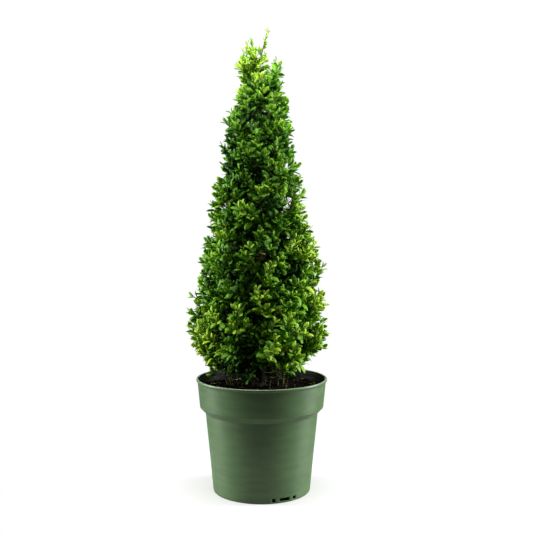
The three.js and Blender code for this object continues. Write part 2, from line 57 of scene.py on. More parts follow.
CLEAR = 0.3  # the gap between the soil and the pot
POT = Sizes(
    height=198, foot_radius=85, waist_radius=98.5, waist_height=139, band_radius=108.2, band_height=148.6,
    mouth_radius=112.6, lip_radius=114.8, lip_height=4.5, lip_round=1.4, wall=1.8, floor=3,
)
DRAIN = Sizes(groups=3, first_angle=27, slots=((-15.4, -11), (-6.5, 6.5), (11, 15.4)), sill=3, height=6)
SOIL = Sizes(edge_height=180.5, middle_height=184, flat_radius=24)
TRUNK = Sizes(
    foot_height=184.3, top_height=655, foot_x=-4, lean=2, bow_x=-4.5, bow_y=4, radius=8, top_radius=2.2,
    flare=4.5, flare_height=12,
)
CROWN = Sizes(
    bottom=206, widest=281, head=760, radius=122, slope=0.19, belly=3, head_radius=38, head_round=22,
    lump=0.035, double_lump=55, triple_lump=33,
)
TIERS = (
    Sizes(height=268, count=6, turn=12, rise=46),
    Sizes(height=376, count=5, turn=40, rise=44),
    Sizes(height=480, count=4, turn=5, rise=38),
    Sizes(height=580, count=3, turn=62, rise=32),
)
TIER_LUCK = Sizes(height=6, height_seed=7, rise=1.2, rise_seed=31)
TOP_HEART = 690
HEART_SHARE = 0.58  # how far out a mass's heart lies, as a share of the crown's radius
INNER_SHARE = 0.24  # how far out its bough's tip lies
SPRIG = Sizes(
    x=33, y=-64, z=212, bough_share=0.62, thickness=0.32, below_heart=8, foot_rise=8, tips=3,
    first_turn=-100, turn=75, spread_x=11, spread_y=9, tip_rise=13, tip_step=4,
)
BOUGH = Sizes(
    foot_share=0.55, tip_share=0.7, least=2.2, bend_out=0.62, bend_up=0.3, below_heart=14, lowest_foot=14,
    foot_step=3,
)
# A stem runs from its bough's tip to its mass's heart. Twigs start at the nodes of a stem or another twig,
# which are shares of its way.
STEM = Sizes(radius=2.4, tip_radius=1.2, bend=0.4, nodes=(0.3, 0.5, 0.7, 0.85, 1))
TWIG = Sizes(
    bend=0.4, nodes=(0.25, 0.5, 0.75), run_cost=0.35, lift=0.95, lowest_lift=-0.3, hang_height=75,
    upright=3, upright_height=30,
)

# The clipped face. Each place in the front view is an ellipse: across, height, half width and half height.

# Waves of this length sink the face, from where they are low enough to start a pit. Its depth is a share of
# the cone's radius.
PITS = Sizes(length=50, start=0.1, over=0.8, depth=0.21, deepest=25, seed=23)
HOLLOWS = (
    # a place and the depth of a dark hollow in the front
    (-12, 322, 15, 22, 30),
    (38, 297, 13, 14, 28),
    (-25, 238, 28, 25, 55),
    (-34, 290, 9, 20, 24),
    (-60, 316, 9, 16, 20),
    (-14, 650, 15, 22, 22),
    (-46, 604, 9, 24, 18),
    (-10, 548, 15, 20, 20),
    (8, 604, 9, 16, 14),
    (56, 386, 14, 20, 24),
)
TRIMS = (
    # a place and how far the outline is cut back there, or swells where the number is below zero
    (-116, 378, 26, 26, 14),
    (-114, 318, 20, 14, 9),
    (-102, 460, 24, 50, 14),
    (-86, 560, 24, 40, 10),
    (-50, 700, 17, 40, 12),
    (74, 585, 18, 44, 11),
    (84, 505, 20, 26, 6),
    (46, 694, 16, 22, 8),
    (90, 214, 26, 16, 40),
    (-62, 622, 18, 26, -9),
    (104, 376, 20, 18, -8),
    (112, 334, 20, 20, -6),
    (-112, 248, 20, 18, -10),
)
GAPS = (
    # a place where light comes through the crown's flanks
    (43, 564, 7, 10),
    (46, 508, 8, 14),
    (40, 490, 5, 6),
    (-62, 499, 7, 7),
)
GROWTH_PAINTED_LIGHT_AND_SHADE = (
    # a place and the gain in the front: young growth and painted light above zero, painted shade below zero
    (-104, 262, 28, 50, 1.6),
    (-99, 351, 17, 19, 1.2),
    (92, 320, 28, 64, 1.2),
    (-84, 304, 26, 50, 0.8),
    (60, 262, 20, 18, 0.7),
    (-20, 262, 26, 14, -1.2),
    (-22, 214, 42, 20, -1.8),
    (0, 326, 66, 44, 0.9),
    (31, 256, 26, 22, 1.3),
    (-36, 297, 11, 10, 1.3),
    (-9, 287, 11, 10, 1.3),
    (-58, 256, 20, 11, 1.1),
    (80, 430, 26, 64, 1.1),
    (56, 386, 13, 17, -2.0),
    (60, 446, 34, 50, 0.8),
    (-45, 455, 16, 22, 0.7),
    (-60, 600, 26, 60, -1.9),
    (48, 600, 20, 60, -1.0),
    (-6, 590, 30, 50, -0.6),
    (36, 722, 17, 36, -2.0),
    (-14, 650, 18, 22, -1.4),
)
# The shears left a notch in the head, right of the leader, and the head is lower beyond it.
NOTCH = Sizes(across=10, half_width=7, depth=42, beyond=8)
# How tips are dealt out over the face. Its area is summed over so many steps of height at one angle. Each
# tip has some luck in its place and turn, and keeps the least reach from the axis.
FACE = Sizes(margin=4, steps=241, angle=1.0, place_luck=(0.2, 0.8), turn_luck=0.06, least_reach=4)


# Small helpers


def mix(a, b, t):
    """The value a share t of the way from a to b."""
    return a + (b - a) * t


def unit(vectors):
    """Each vector divided by its own length."""
    return vectors / np.maximum(np.linalg.norm(vectors, axis=-1, keepdims=True), 1e-9)


def chance(k):
    """A repeatable number from 0 to 1 for the whole number k: the fraction of a large sine."""
    s = np.sin(k * 12.9898 + 4.1) * 43758.5453
    return s - np.floor(s)


def waves(points, length, seed, count=9):
    """Smooth unevenness of about -1 to 1: the sum of sine waves in random directions, each one about a
    length long, over the square root of their count."""
    draw = np.random.default_rng(seed)
    ways = unit(draw.normal(size=(count, 3))) * (2 * np.pi / length)
    ways *= draw.uniform(*WAVE_LENGTHS, (count, 1))
    phases = draw.uniform(0, 2 * np.pi, count)
    return np.sin(points @ ways.T + phases).sum(-1) / np.sqrt(count)


def away_from(points, place):
    """The square of the points' distance from a place in the front view, which is 1 on its ellipse."""
    across, level, half_width, half_height = place
    return ((points[..., 0] - across) / half_width) ** 2 + ((points[..., 2] - level) / half_height) ** 2


def nearness(points, place):
    """1 at a place in the front view and dying away past its ellipse: e to minus the fourth power of the
    distance."""
    return np.exp(-(away_from(points, place) ** 2))


def ring_faces(rows, columns):
    """The quads of a grid whose columns run round and meet, as an array of rows, columns and four corners.
    They face outwards where rows rise and columns run anticlockwise."""
    row, column = np.meshgrid(np.arange(rows - 1), np.arange(columns), indexing="ij")
    here = row * columns + column
    beside = row * columns + (column + 1) % columns
    return np.stack([here, beside, beside + columns, here + columns], axis=-1)


def make_object(name, points, faces, materials, kinds=None, smooth=True):
    """One mesh from points in millimetres and arrays of faces, in an object at the origin. kinds gives the
    number of each face's material."""
    corners = np.concatenate([f.reshape(-1) for f in faces]).astype(np.int32)
    sizes = np.concatenate([np.full(f.size // f.shape[-1], f.shape[-1]) for f in faces])
    starts = np.concatenate([[0], np.cumsum(sizes)[:-1]]).astype(np.int32)
    mesh = bpy.data.meshes.new(name)
    mesh.vertices.add(len(points))
    mesh.vertices.foreach_set("co", (points * MM).astype(np.float32).ravel())
    mesh.loops.add(len(corners))
    mesh.loops.foreach_set("vertex_index", corners)
    mesh.polygons.add(len(sizes))
    mesh.polygons.foreach_set("loop_start", starts)
    for material in materials:
        mesh.materials.append(material)
    if kinds is not None:
        mesh.polygons.foreach_set("material_index", kinds.astype(np.int32))
    mesh.polygons.foreach_set("use_smooth", np.full(len(sizes), smooth))
    mesh.update(calc_edges=True)
    mesh.validate()
    thing = bpy.data.objects.new(name, mesh)
    bpy.context.scene.collection.objects.link(thing)
    return thing


# Materials


def linear(colour):
    """A colour given as an sRGB hex value, as linear red, green and blue with an alpha of 1."""
    shares = [(colour >> shift & 255) / 255 for shift in (16, 8, 0)]
    return (*[c / 12.92 if c <= 0.04045 else ((c + 0.055) / 1.055) ** 2.4 for c in shares], 1.0)


def add_node(tree, kind, inputs, stops=(), **settings):
    """Adds a shader node with its settings. An input given as a node and the name of its output is linked to
    it. stops are the places of a colour ramp with their sRGB hex values."""
    node = tree.nodes.new(f"ShaderNode{kind}")
    for name, value in settings.items():
        setattr(node, name, value)
    for name, value in inputs.items():
        if isinstance(value, tuple) and isinstance(value[0], bpy.types.Node):
            tree.links.new(value[0].outputs[value[1]], node.inputs[name])
        else:
            node.inputs[name].default_value = value
    for _ in stops[2:]:
        node.color_ramp.elements.new(1)
    for number, (place, colour) in enumerate(stops):
        node.color_ramp.elements[number].position = place
        node.color_ramp.elements[number].color = linear(colour)
    return node


def new_material(name):
    """An empty node material, and its tree."""
    material = bpy.data.materials.new(name)
    material.use_nodes = True
    material.node_tree.nodes.clear()
    return material, material.node_tree


def per_metre(size_mm):
    """The scale of a pattern whose features are that many millimetres across."""
    return 1 / (size_mm * MM)


def moulded_polypropylene(name, dark, light, gloss):
    """Injection-moulded polypropylene: a satin skin that takes long soft highlights, with faint flow marks
    that run round the pot, rubbed spots that are duller and a fine matt grain. dark and light are the
    colours of its marks: green outside, paler along the lip's upper edge as a painted highlight, and
    inside nearly black as a painted shade, and dull."""
    material, tree = new_material(name)
    place = add_node(tree, "TexCoord", {})
    spread = add_node(tree, "Mapping", {"Vector": (place, "Object"), "Scale": (1, 1, 4.5)})
    flow = add_node(tree, "TexNoise", {"Vector": (spread, "Vector"), "Scale": per_metre(45), "Detail": 5})
    rubbed = add_node(tree, "TexNoise", {"Vector": (place, "Object"), "Scale": per_metre(22), "Detail": 6})
    grain = add_node(tree, "TexNoise", {"Vector": (place, "Object"), "Scale": per_metre(1.1), "Detail": 2})
    colour = add_node(tree, "ValToRGB", {"Fac": (flow, "Fac")}, ((0.32, dark), (0.68, light)))
    dull = add_node(
        tree,
        "MapRange",
        {"Value": (rubbed, "Fac"), "From Min": 0.35, "From Max": 0.75, "To Min": 0.36, "To Max": 0.5},
    )
    bump = add_node(tree, "Bump", {"Height": (grain, "Fac"), "Strength": 0.08, "Distance": 0.0002})
    shader = add_node(
        tree,
        "BsdfPrincipled",
        {
            "Base Color": (colour, "Color"),
            "Roughness": (dull, "Result"),
            "Normal": (bump, "Normal"),
            "IOR": 1.49,
            "Specular IOR Level": gloss,
        },
    )
    add_node(tree, "OutputMaterial", {"Surface": (shader, "BSDF")})
    return material


def damp_peat():
    """Milled peat, still damp: nearly black brown with lighter fibres, rough and with hardly any shine."""
    material, tree = new_material("damp_peat")
    place = add_node(tree, "TexCoord", {})
    crumbs = add_node(tree, "TexNoise", {"Vector": (place, "Object"), "Scale": per_metre(5), "Detail": 8})
    fine = add_node(tree, "TexNoise", {"Vector": (place, "Object"), "Scale": per_metre(1.6), "Detail": 6})
    colour = add_node(
        tree, "ValToRGB", {"Fac": (crumbs, "Fac")}, ((0.35, 0x050302), (0.55, 0x0D0906), (0.72, 0x1D140D))
    )
    bump = add_node(tree, "Bump", {"Height": (fine, "Fac"), "Strength": 0.9, "Distance": 0.0015})
    shader = add_node(
        tree,
        "BsdfPrincipled",
        {
            "Base Color": (colour, "Color"),
            "Roughness": 0.9,
            "Normal": (bump, "Normal"),
            "Specular IOR Level": 0.1,
        },
    )
    add_node(tree, "OutputMaterial", {"Surface": (shader, "BSDF")})
    return material


def plain_chip(name, colour, roughness):
    """Shredded wood and bark in the peat: small matt pieces, each kind with its own plain colour."""
    material, tree = new_material(name)
    shader = add_node(
        tree,
        "BsdfPrincipled",
        {"Base Color": linear(colour), "Roughness": roughness, "Specular IOR Level": 0.15},
    )
    add_node(tree, "OutputMaterial", {"Surface": (shader, "BSDF")})
    return material


def living_skin(name, colour, roughness, gloss):
    """Leaf or green shoot: an opaque living skin with thin wax on it, so a plain green with a soft gloss.
    The tints of the foliage are plain colours, dealt out to whole sprays."""
    material, tree = new_material(name)
    shader = add_node(
        tree,
        "BsdfPrincipled",
        {"Base Color": linear(colour), "Roughness": roughness, "Specular IOR Level": gloss, "IOR": 1.45},
    )
    add_node(tree, "OutputMaterial", {"Surface": (shader, "BSDF")})
    return material


def holly_bark():
    """Young holly bark: thin grey-brown cork with fine lengthways cracks, paler pores and a greenish cast,
    matt and slightly rough."""
    material, tree = new_material("holly_bark")
    place = add_node(tree, "TexCoord", {})
    drawn_out = add_node(tree, "Mapping", {"Vector": (place, "Object"), "Scale": (1, 1, 0.22)})
    cracks = add_node(
        tree, "TexNoise", {"Vector": (drawn_out, "Vector"), "Scale": per_metre(1.8), "Detail": 6}
    )
    patches = add_node(tree, "TexNoise", {"Vector": (place, "Object"), "Scale": per_metre(14), "Detail": 3})
    dark = add_node(
        tree, "ValToRGB", {"Fac": (cracks, "Fac")}, ((0.36, 0x17110C), (0.5, 0x3A2D22), (0.68, 0x5E4E3D))
    )
    green = add_node(tree, "ValToRGB", {"Fac": (patches, "Fac")}, ((0.45, 0x332B20), (0.7, 0x3C4028)))
    colour = add_node(tree, "Mix", {0: 0.35, 6: (dark, "Color"), 7: (green, "Color")}, data_type="RGBA")
    bump = add_node(tree, "Bump", {"Height": (cracks, "Fac"), "Strength": 0.7, "Distance": 0.0006})
    shader = add_node(
        tree,
        "BsdfPrincipled",
        {
            "Base Color": (colour, 2),
            "Roughness": 0.82,
            "Normal": (bump, "Normal"),
            "Specular IOR Level": 0.35,
        },
    )
    add_node(tree, "OutputMaterial", {"Surface": (shader, "BSDF")})
    return material


# Growth rule, as in the part's source


def axis_at(z):
    """The trunk's axis: it leans evenly, bows by half a sine wave in X and sways by a whole one in Y."""
    u = (z - TRUNK.foot_height) / (TRUNK.top_height - TRUNK.foot_height)
    turn = np.pi * np.minimum(u, 1)
    x = TRUNK.foot_x + TRUNK.lean * u + TRUNK.bow_x * np.sin(turn)
    return np.stack([x, TRUNK.bow_y * np.sin(2 * turn), z + 0 * x], axis=-1)


def trunk_radius(z):
    """A straight taper, and a flare that dies away above the foot."""
    u = (z - TRUNK.foot_height) / (TRUNK.top_height - TRUNK.foot_height)
    flare = TRUNK.flare * np.exp(-(z - TRUNK.foot_height) / TRUNK.flare_height)
    return mix(TRUNK.radius, TRUNK.top_radius, u) + flare


def crown_radius(z, angle):
    """The clipped cone with its belly, rounded off under its widest ring and at its head, and a little
    lumpy: two lumps and three lumps round it, which turn with the height."""
    rise = z - CROWN.widest
    belly = CROWN.belly * np.sin(np.pi * rise / (CROWN.head - CROWN.widest))
    cone = np.clip(CROWN.radius - CROWN.slope * rise + belly, CROWN.head_radius, CROWN.radius)
    under = np.clip(-rise / (CROWN.widest - CROWN.bottom), 0, 1)
    over = np.clip((z - CROWN.head + CROWN.head_round) / CROWN.head_round, 0, 1)
    lumps = np.sin(2 * angle + z / CROWN.double_lump) + np.cos(3 * angle - z / CROWN.triple_lump)
    return cone * np.sqrt(1 - under**2) * np.sqrt(1 - over**2) * (1 + CROWN.lump * lumps)


def make_bough(foot, tip, share):
    """A bough's foot, bend and tip, and its radii at both ends. share is its part of the trunk's radius."""
    bend = mix(foot, tip, np.array([BOUGH.bend_out, BOUGH.bend_out, BOUGH.bend_up]))
    thick = max(BOUGH.least, share * trunk_radius(tip[2]))
    return Sizes(curve=np.array([foot, bend, tip]), radii=(thick, BOUGH.tip_share * thick))


def lay_out_masses():
    """The masses in tiers round the trunk, one on its tip and the sprig, each with its heart and bough."""
    masses = []
    for level, tier in enumerate(TIERS):
        for i in range(tier.count):
            angle = np.radians(tier.turn + 360 / tier.count * i)
            luck = chance(TIER_LUCK.height_seed * level + i)
            height = tier.height + mix(-TIER_LUCK.height, TIER_LUCK.height, luck)
            out = np.array([np.cos(angle), np.sin(angle), 0])
            radius = crown_radius(height, angle)
            tip_height = height - BOUGH.below_heart
            tip = axis_at(tip_height) + INNER_SHARE * radius * out
            rise = tier.rise * mix(1, TIER_LUCK.rise, chance(TIER_LUCK.rise_seed * level + i))
            lowest = TRUNK.foot_height + BOUGH.lowest_foot + BOUGH.foot_step * i
            foot = axis_at(max(tip_height - rise, lowest))
            heart = axis_at(height) + HEART_SHARE * radius * out
            bough = make_bough(foot, tip, BOUGH.foot_share)
            masses.append(Sizes(name=f"{level + 1}_{i + 1}", heart=heart, bough=bough))
    masses.append(Sizes(name="top", heart=axis_at(TOP_HEART), bough=None))
    heart = np.array([SPRIG.x, SPRIG.y, SPRIG.z], float)
    low = SPRIG.z - SPRIG.below_heart
    tip = np.array([SPRIG.bough_share * SPRIG.x, SPRIG.bough_share * SPRIG.y, low])
    bough = make_bough(axis_at(TRUNK.foot_height + SPRIG.foot_rise), tip, SPRIG.thickness)
    masses.append(Sizes(name="sprig", heart=heart, bough=bough))
    return masses


def depth_in_space(points, own, hearts):
    """How far each point lies on its own mass's side of the planes halfway to the other hearts. own is the
    number of each point's mass."""
    squares = ((points[:, None] - hearts) ** 2).sum(-1)
    apart = np.linalg.norm(hearts[own][:, None] - hearts, axis=-1)
    lead = squares - np.take_along_axis(squares, own[:, None], 1)
    lead /= np.maximum(2 * apart, SMALL)
    np.put_along_axis(lead, own[:, None], np.inf, 1)
    return lead.min(1)


def pit_depth(points):
    """How far the clipped face is sunk at each point: a smooth step down where slow waves are low, so that
    clumps of shoots stand out with dark gaps between them, and less deep where the crown is slim. The
    hollows in the front go deeper, and the trims change the outline."""
    low = -waves(points, PITS.length, PITS.seed)
    share = np.clip((low - PITS.start) / PITS.over, 0, 1)
    height = np.clip(points[..., 2], CROWN.widest, CROWN.head)
    cone = CROWN.radius - CROWN.slope * (height - CROWN.widest)
    sunk = np.minimum(PITS.depth * cone, PITS.deepest) * share**2 * (3 - 2 * share)
    for *place, depth in HOLLOWS:
        sunk = np.maximum(sunk, np.where(points[..., 1] < 0, depth * nearness(points, place), 0))
    for *place, depth in TRIMS:
        sunk = sunk + depth * nearness(points, place)
    return sunk


def notch_depth(points):
    """How far the head is cut down at each point: a smooth notch that runs from front to back, and less on
    its right."""
    away = (points[..., 0] - NOTCH.across) / NOTCH.half_width
    return NOTCH.depth * np.exp(-(away**2)) + NOTCH.beyond * np.clip(away, 0, 1)


def crown_tips(count, inset, draw):
    """Tips spread evenly over the crown's face, equal areas and a golden angle apart, each a little out of
    line, at a depth under the face and its pits that inset gives as a pair of limits. What the notch cuts
    off is left out."""
    z = np.linspace(CROWN.bottom + FACE.margin, CROWN.head - FACE.margin, FACE.steps)
    radius = crown_radius(z, FACE.angle)
    slant = np.hypot(np.diff(z), np.diff(radius))
    area = np.concatenate([[0], np.cumsum(slant * (radius[1:] + radius[:-1]))])
    k = np.arange(count)
    height = np.interp(area[-1] * (k + draw.uniform(*FACE.place_luck, count)) / count, area, z)
    angle = k * GOLDEN_ANGLE + draw.normal(0, FACE.turn_luck, count)
    out = np.stack([np.cos(angle), np.sin(angle), 0 * angle], axis=-1)
    radius = crown_radius(height, angle)
    sunk = pit_depth(axis_at(height) + radius[:, None] * out)
    reach = np.maximum(FACE.least_reach, radius - sunk - draw.uniform(*inset, count))
    tips = axis_at(height) + reach[:, None] * out
    return tips[height < CROWN.head - notch_depth(tips)]


def outwards(points):
    """The level direction from the trunk's axis to each point."""
    return unit((points - axis_at(points[..., 2])) * LEVEL)


def axis_distance(points):
    """The level distance from the trunk's axis to each point."""
    return np.linalg.norm((points - axis_at(points[..., 2]))[..., :2], axis=-1)


def ending_way(points):
    """The way that growth ends in at each point: outwards and up, but hanging at the crown's bottom, and
    upright above its head."""
    height = np.clip((points[..., 2:] - CROWN.bottom) / TWIG.hang_height, 0, 1)
    above = np.clip((points[..., 2:] - CROWN.head + TWIG.upright_height) / TWIG.upright_height, 0, 1)
    return unit(outwards(points) + (mix(TWIG.lowest_lift, TWIG.lift, height) + TWIG.upright * above) * UP)


def curve_points(curves, t):
    """Points of quadratic curves: foot, bend and tip weighted by (1-t)^2, 2t(1-t) and t^2."""
    t = np.broadcast_to(t, (len(curves), np.shape(t)[-1]))[..., None]
    foot, bend, tip = (curves[:, None, i] for i in range(3))
    return (1 - t) ** 2 * foot + 2 * t * (1 - t) * bend + t**2 * tip


def curve_ways(curves, t):
    """The direction of quadratic curves: their derivative made one long."""
    t = np.broadcast_to(t, (len(curves), np.shape(t)[-1]))[..., None]
    foot, bend, tip = (curves[:, None, i] for i in range(3))
    return unit((1 - t) * (bend - foot) + t * (tip - bend))


def lengths(curves):
    """The lengths of quadratic curves, taken along eight chords."""
    points = curve_points(curves, CHORD_ENDS)
    return np.linalg.norm(np.diff(points, axis=1), axis=-1).sum(1)


def grow_twigs(mass, tips):
    """The curves of one mass: its stem, then a twig to each tip in order of distance. A twig leaves the
    grown point with the least distance to its tip plus a share of the run from the stem's foot."""
    if mass.bough:
        foot = mass.bough.curve[2]
        foot_way = unit(mass.bough.curve[2] - mass.bough.curve[1])
    else:
        foot = axis_at(TRUNK.top_height)
        foot_way = UP
    reach = np.linalg.norm(mass.heart - foot)
    stem = np.array([foot, foot + STEM.bend * reach * foot_way, mass.heart])
    nodes = curve_points(stem[None], np.array(STEM.nodes))[0]
    runs = reach * np.array(STEM.nodes)
    order = np.argsort(np.linalg.norm(tips - foot, axis=-1))
    endings = ending_way(tips)
    curves = []
    for k in order:
        away = np.linalg.norm(nodes - tips[k], axis=-1)
        best = np.argmin(away + TWIG.run_cost * runs)
        bend = tips[k] - TWIG.bend * away[best] * endings[k]
        curve = np.array([nodes[best], bend, tips[k]])
        curves.append(curve)
        nodes = np.concatenate([nodes, curve_points(curve[None], np.array(TWIG.nodes))[0]])
        runs = np.concatenate([runs, runs[best] + away[best] * np.array(TWIG.nodes)])
    return stem, np.array(curves)


# Tubes and leaves as arrays


def frames_along(ways, towards):
    """Two directions square to each way: the first is level, or square to SIDEWAYS where what the way goes
    towards is steep, and the second completes a right-handed set."""
    reference = np.where(np.abs(towards[..., 2:]) > STEEP, SIDEWAYS, UP)
    side = unit(np.cross(reference, ways))
    return side, np.cross(ways, side)


def tubes(lines, radii, sides):
    """Round rods along lines: at each point of a line a ring whose radius is given there, and a closing
    point at both ends. lines has rods, points and three places."""
    rods, rings = lines.shape[:2]
    ways = unit(np.gradient(lines, axis=1))
    chords = unit(lines[:, -1] - lines[:, 0])
    side, third = frames_along(ways, chords[:, None])
    turn = np.arange(sides) * 2 * np.pi / sides
    ring = np.cos(turn)[:, None] * side[:, :, None] + np.sin(turn)[:, None] * third[:, :, None]
    skin = lines[:, :, None] + radii[:, :, None, None] * ring
    end = lines[:, -1] + ways[:, -1] * radii[:, -1:]
    points = np.concatenate([skin.reshape(rods, -1, 3), lines[:, :1], end[:, None]], axis=1)
    quads = ring_faces(rings, sides).reshape(-1, 4)
    foot, tip = rings * sides, rings * sides + 1
    caps = np.concatenate([pole_faces(0, sides, foot, False), pole_faces(rings - 1, sides, tip, True)])
    step = (np.arange(rods) * points.shape[1])[:, None, None]
    return points.reshape(-1, 3), (quads + step).reshape(-1, 4), (caps + step).reshape(-1, 3)


def pole_faces(row, columns, pole, above):
    """Triangles from one row of a ring grid to a closing point, which lies beyond the last row if above is
    true and beyond the first if not."""
    here = row * columns + np.arange(columns)
    beside = row * columns + (np.arange(columns) + 1) % columns
    first, second = (here, beside) if above else (beside, here)
    return np.stack([0 * here + pole, first, second], axis=-1)


def join(parts):
    """Several sets of points, quads and triangles as one."""
    points, quads, triangles = [], [], []
    count = 0
    for part_points, part_quads, part_triangles in parts:
        points.append(part_points)
        quads.append(part_quads + count)
        triangles.append(part_triangles + count)
        count += len(part_points)
    return np.concatenate(points), np.concatenate(quads), np.concatenate(triangles)


# A leaf of life size is an ellipse, widest a little past its middle. Its outline has three stations a side
# and its midrib three above and three below, so it is closed and has 24 faces. The leaves in the dark inside
# of the crown have one station and 8 faces. lap is how far a leaf may reach into another mass's space.
LEAF = Sizes(length=15.5, width=7.3, thickness=0.35, lap=13)
OUTER_FORM = Sizes(stations=(0.24, 0.52, 0.8), widths=(0.66, 1.0, 0.78))
INNER_FORM = Sizes(stations=(0.5,), widths=(1.15,))


def leaf_shape(form):
    """A leaf one long: its points flat, what folding adds and what curling adds, and its triangles. Folding
    lifts the edges by their share of the half width. Curling drops the far end by the square of the way."""
    run = np.array(form.stations)
    wide = np.array(form.widths) * LEAF.width / LEAF.length / 2
    count = len(run)
    zero = np.zeros(count)
    thick = np.full(count, LEAF.thickness / LEAF.length / 2)
    flat = np.concatenate(
        [
            [[0, 0, 0]],
            np.stack([run, wide, zero], axis=-1),
            np.stack([run, -wide, zero], axis=-1),
            [[1, 0, 0]],
            np.stack([run, zero, thick], axis=-1),
            np.stack([run, zero, -thick], axis=-1),
        ]
    )
    fold = np.abs(flat[:, 1:2]) * UP
    curl = -(flat[:, :1] ** 2) * UP
    left, right, tip, above, below = 1, 1 + count, 1 + 2 * count, 2 + 2 * count, 2 + 3 * count
    last = count - 1
    faces = []
    for middle, turned in ((above, False), (below, True)):
        side = [[0, middle, left], [0, right, middle]]
        for i in range(last):
            side += [[middle + i, middle + i + 1, left + i + 1], [middle + i, left + i + 1, left + i]]
            side += [[right + i, right + i + 1, middle + i + 1], [right + i, middle + i + 1, middle + i]]
        side += [[middle + last, tip, left + last], [right + last, tip, middle + last]]
        faces += [face[::-1] for face in side] if turned else side
    return flat, fold, curl, np.array(faces)


def leaves_as_mesh(leaves, form):
    """All leaves at once: the flat shape with each one's fold and curl, grown to its size and turned to its
    own three directions."""
    flat, fold, curl, faces = leaf_shape(form)
    shape = flat + leaves.fold[:, None, None] * fold + leaves.curl[:, None, None] * curl
    shape = shape * (leaves.size * LEAF.length)[:, None, None]
    turned = np.einsum("npk,nkc->npc", shape, leaves.ways)
    points = turned + leaves.foot[:, None]
    step = (np.arange(len(points)) * len(flat))[:, None, None]
    return points.reshape(-1, 3), (faces + step).reshape(-1, 3)


def turned_about(vectors, axis, angle):
    """Vectors turned about an axis one long. What lies along the axis stays, and what is square to it turns
    by the cosine and sine of the angle."""
    c, s = np.cos(angle)[..., None], np.sin(angle)[..., None]
    along = (vectors * axis).sum(-1, keepdims=True)
    return vectors * c + np.cross(axis, vectors) * s + axis * along * (1 - c)


# Shoots

# The fine green twigs of the last season carry the leaves. A plan gives the tips of one layer of the crown
# and how deep they lie, the shoots along each twig, and the leaves along each shoot.
OUTER = Sizes(
    tips=470, inset=(9, 27),
    shoots=8, spacing=6.5, angle=48, length=(15, 33), outward=0.75, clipped=(-6, 5), over_head=(-12, 12),
    leaves=8, leaf_spacing=3.8, leaf_angle=52, tip_angle=14, size=1.32,
)
INNER = Sizes(
    tips=820, inset=(22, 92),
    shoots=6, spacing=7.5, angle=60, length=(16, 30), outward=0.5, clipped=(10, 26), over_head=(-30, -10),
    leaves=6, leaf_spacing=4.2, leaf_angle=55, tip_angle=20, size=1.3,
)
LEADER = Sizes(
    shoots=4, spacing=12, angle=34, length=(7, 13), outward=0.35, clipped=(-90, -80), over_head=(80, 90),
    leaves=4, leaf_spacing=3.4, leaf_angle=38, tip_angle=14, size=0.85,
)
LEADER_STEM = Sizes(leaves=9, leaf_spacing=6.5, leaf_angle=40, tip_angle=10, size=0.9)
SUCKER = Sizes(leaves=8, leaf_spacing=4.4, leaf_angle=50, tip_angle=16, size=1.3)
# What is called luck is how far a value varies by chance.
SHOOT = Sizes(
    foot_luck=0.03, lowest_foot=0.12, tip_opening=0.15, opening=(0.7, 1.2), outward=(0.4, 1.1), lift=0.5,
    bend_up=1.1, way_luck=0.16, bend=0.5, under_head=8, shortest=0.25, shortest_in_head=0.3,
)
LEAFING = Sizes(
    first=0.5, foot_luck=0.6, lowest_foot=0.08, turn_luck=0.25, grown_by=3, opening=(0.75, 1.25), lift=0.6,
    lean_back=0.35, to_light=0.8, way_luck=0.16, youngest=0.6, size_luck=(0.8, 1.12), fold=(0.05, 0.45),
    curl=0.08, curl_luck=0.07,
)


def grow_shoots(curves, own, draw, plan):
    """Shoots along the last stretch of each twig, a golden angle apart, with one at its tip. They lean out
    from the twig, bend towards where growth ends, and are cut back to the crown's face where they would pass
    it."""
    size = lengths(curves)
    steps = np.arange(plan.shoots)
    t = 1 - steps * plan.spacing / size[:, None]
    t[:, 1:] += draw.uniform(-SHOOT.foot_luck, SHOOT.foot_luck, t[:, 1:].shape)
    keep = t > SHOOT.lowest_foot
    t = np.clip(t, 0, 1)
    foot = curve_points(curves, t)
    ways = curve_ways(curves, t)
    side, third = frames_along(ways, ways)
    turn = (steps * GOLDEN_ANGLE + draw.uniform(0, 2 * np.pi, (len(curves), 1)))[..., None]
    opening = np.where(steps == 0, SHOOT.tip_opening, draw.uniform(*SHOOT.opening, t.shape))
    open_by = np.radians(plan.angle) * opening[..., None]
    lean = np.cos(turn) * side + np.sin(turn) * third
    start = np.cos(open_by) * ways + np.sin(open_by) * lean
    ending = unit(ending_way(foot) + SHOOT.lift * UP)
    start = unit(start + plan.outward * draw.uniform(*SHOOT.outward, t.shape)[..., None] * ending)
    finish = unit(start + SHOOT.bend_up * ending + draw.normal(0, SHOOT.way_luck, foot.shape))
    way = unit(start + finish)
    long = draw.uniform(*plan.length, t.shape)
    tip = foot + long[..., None] * way
    out = outwards(tip)
    angle = np.arctan2(out[..., 1], out[..., 0])
    face = crown_radius(np.minimum(tip[..., 2], CROWN.head - SHOOT.under_head), angle)
    face -= draw.uniform(*plan.clipped, t.shape) + pit_depth(tip)
    reach, start_reach = axis_distance(tip), axis_distance(foot)
    cut = np.clip((face - start_reach) / np.maximum(reach - start_reach, SMALL), SHOOT.shortest, 1)
    long = long * np.where(reach > face, cut, 1)
    top = CROWN.head + draw.uniform(*plan.over_head, t.shape) - notch_depth(tip)
    rise = np.maximum(tip[..., 2] - foot[..., 2], SMALL)
    cut = np.clip((top - foot[..., 2]) / rise, SHOOT.shortest_in_head, 1)
    long = long * np.where(tip[..., 2] > top, cut, 1)
    tip = foot + long[..., None] * way
    bend = foot + SHOOT.bend * long[..., None] * start
    shoots = np.stack([foot, bend, tip], axis=-2)
    of_mass = np.broadcast_to(own[:, None], t.shape)
    return shoots[keep], of_mass[keep]


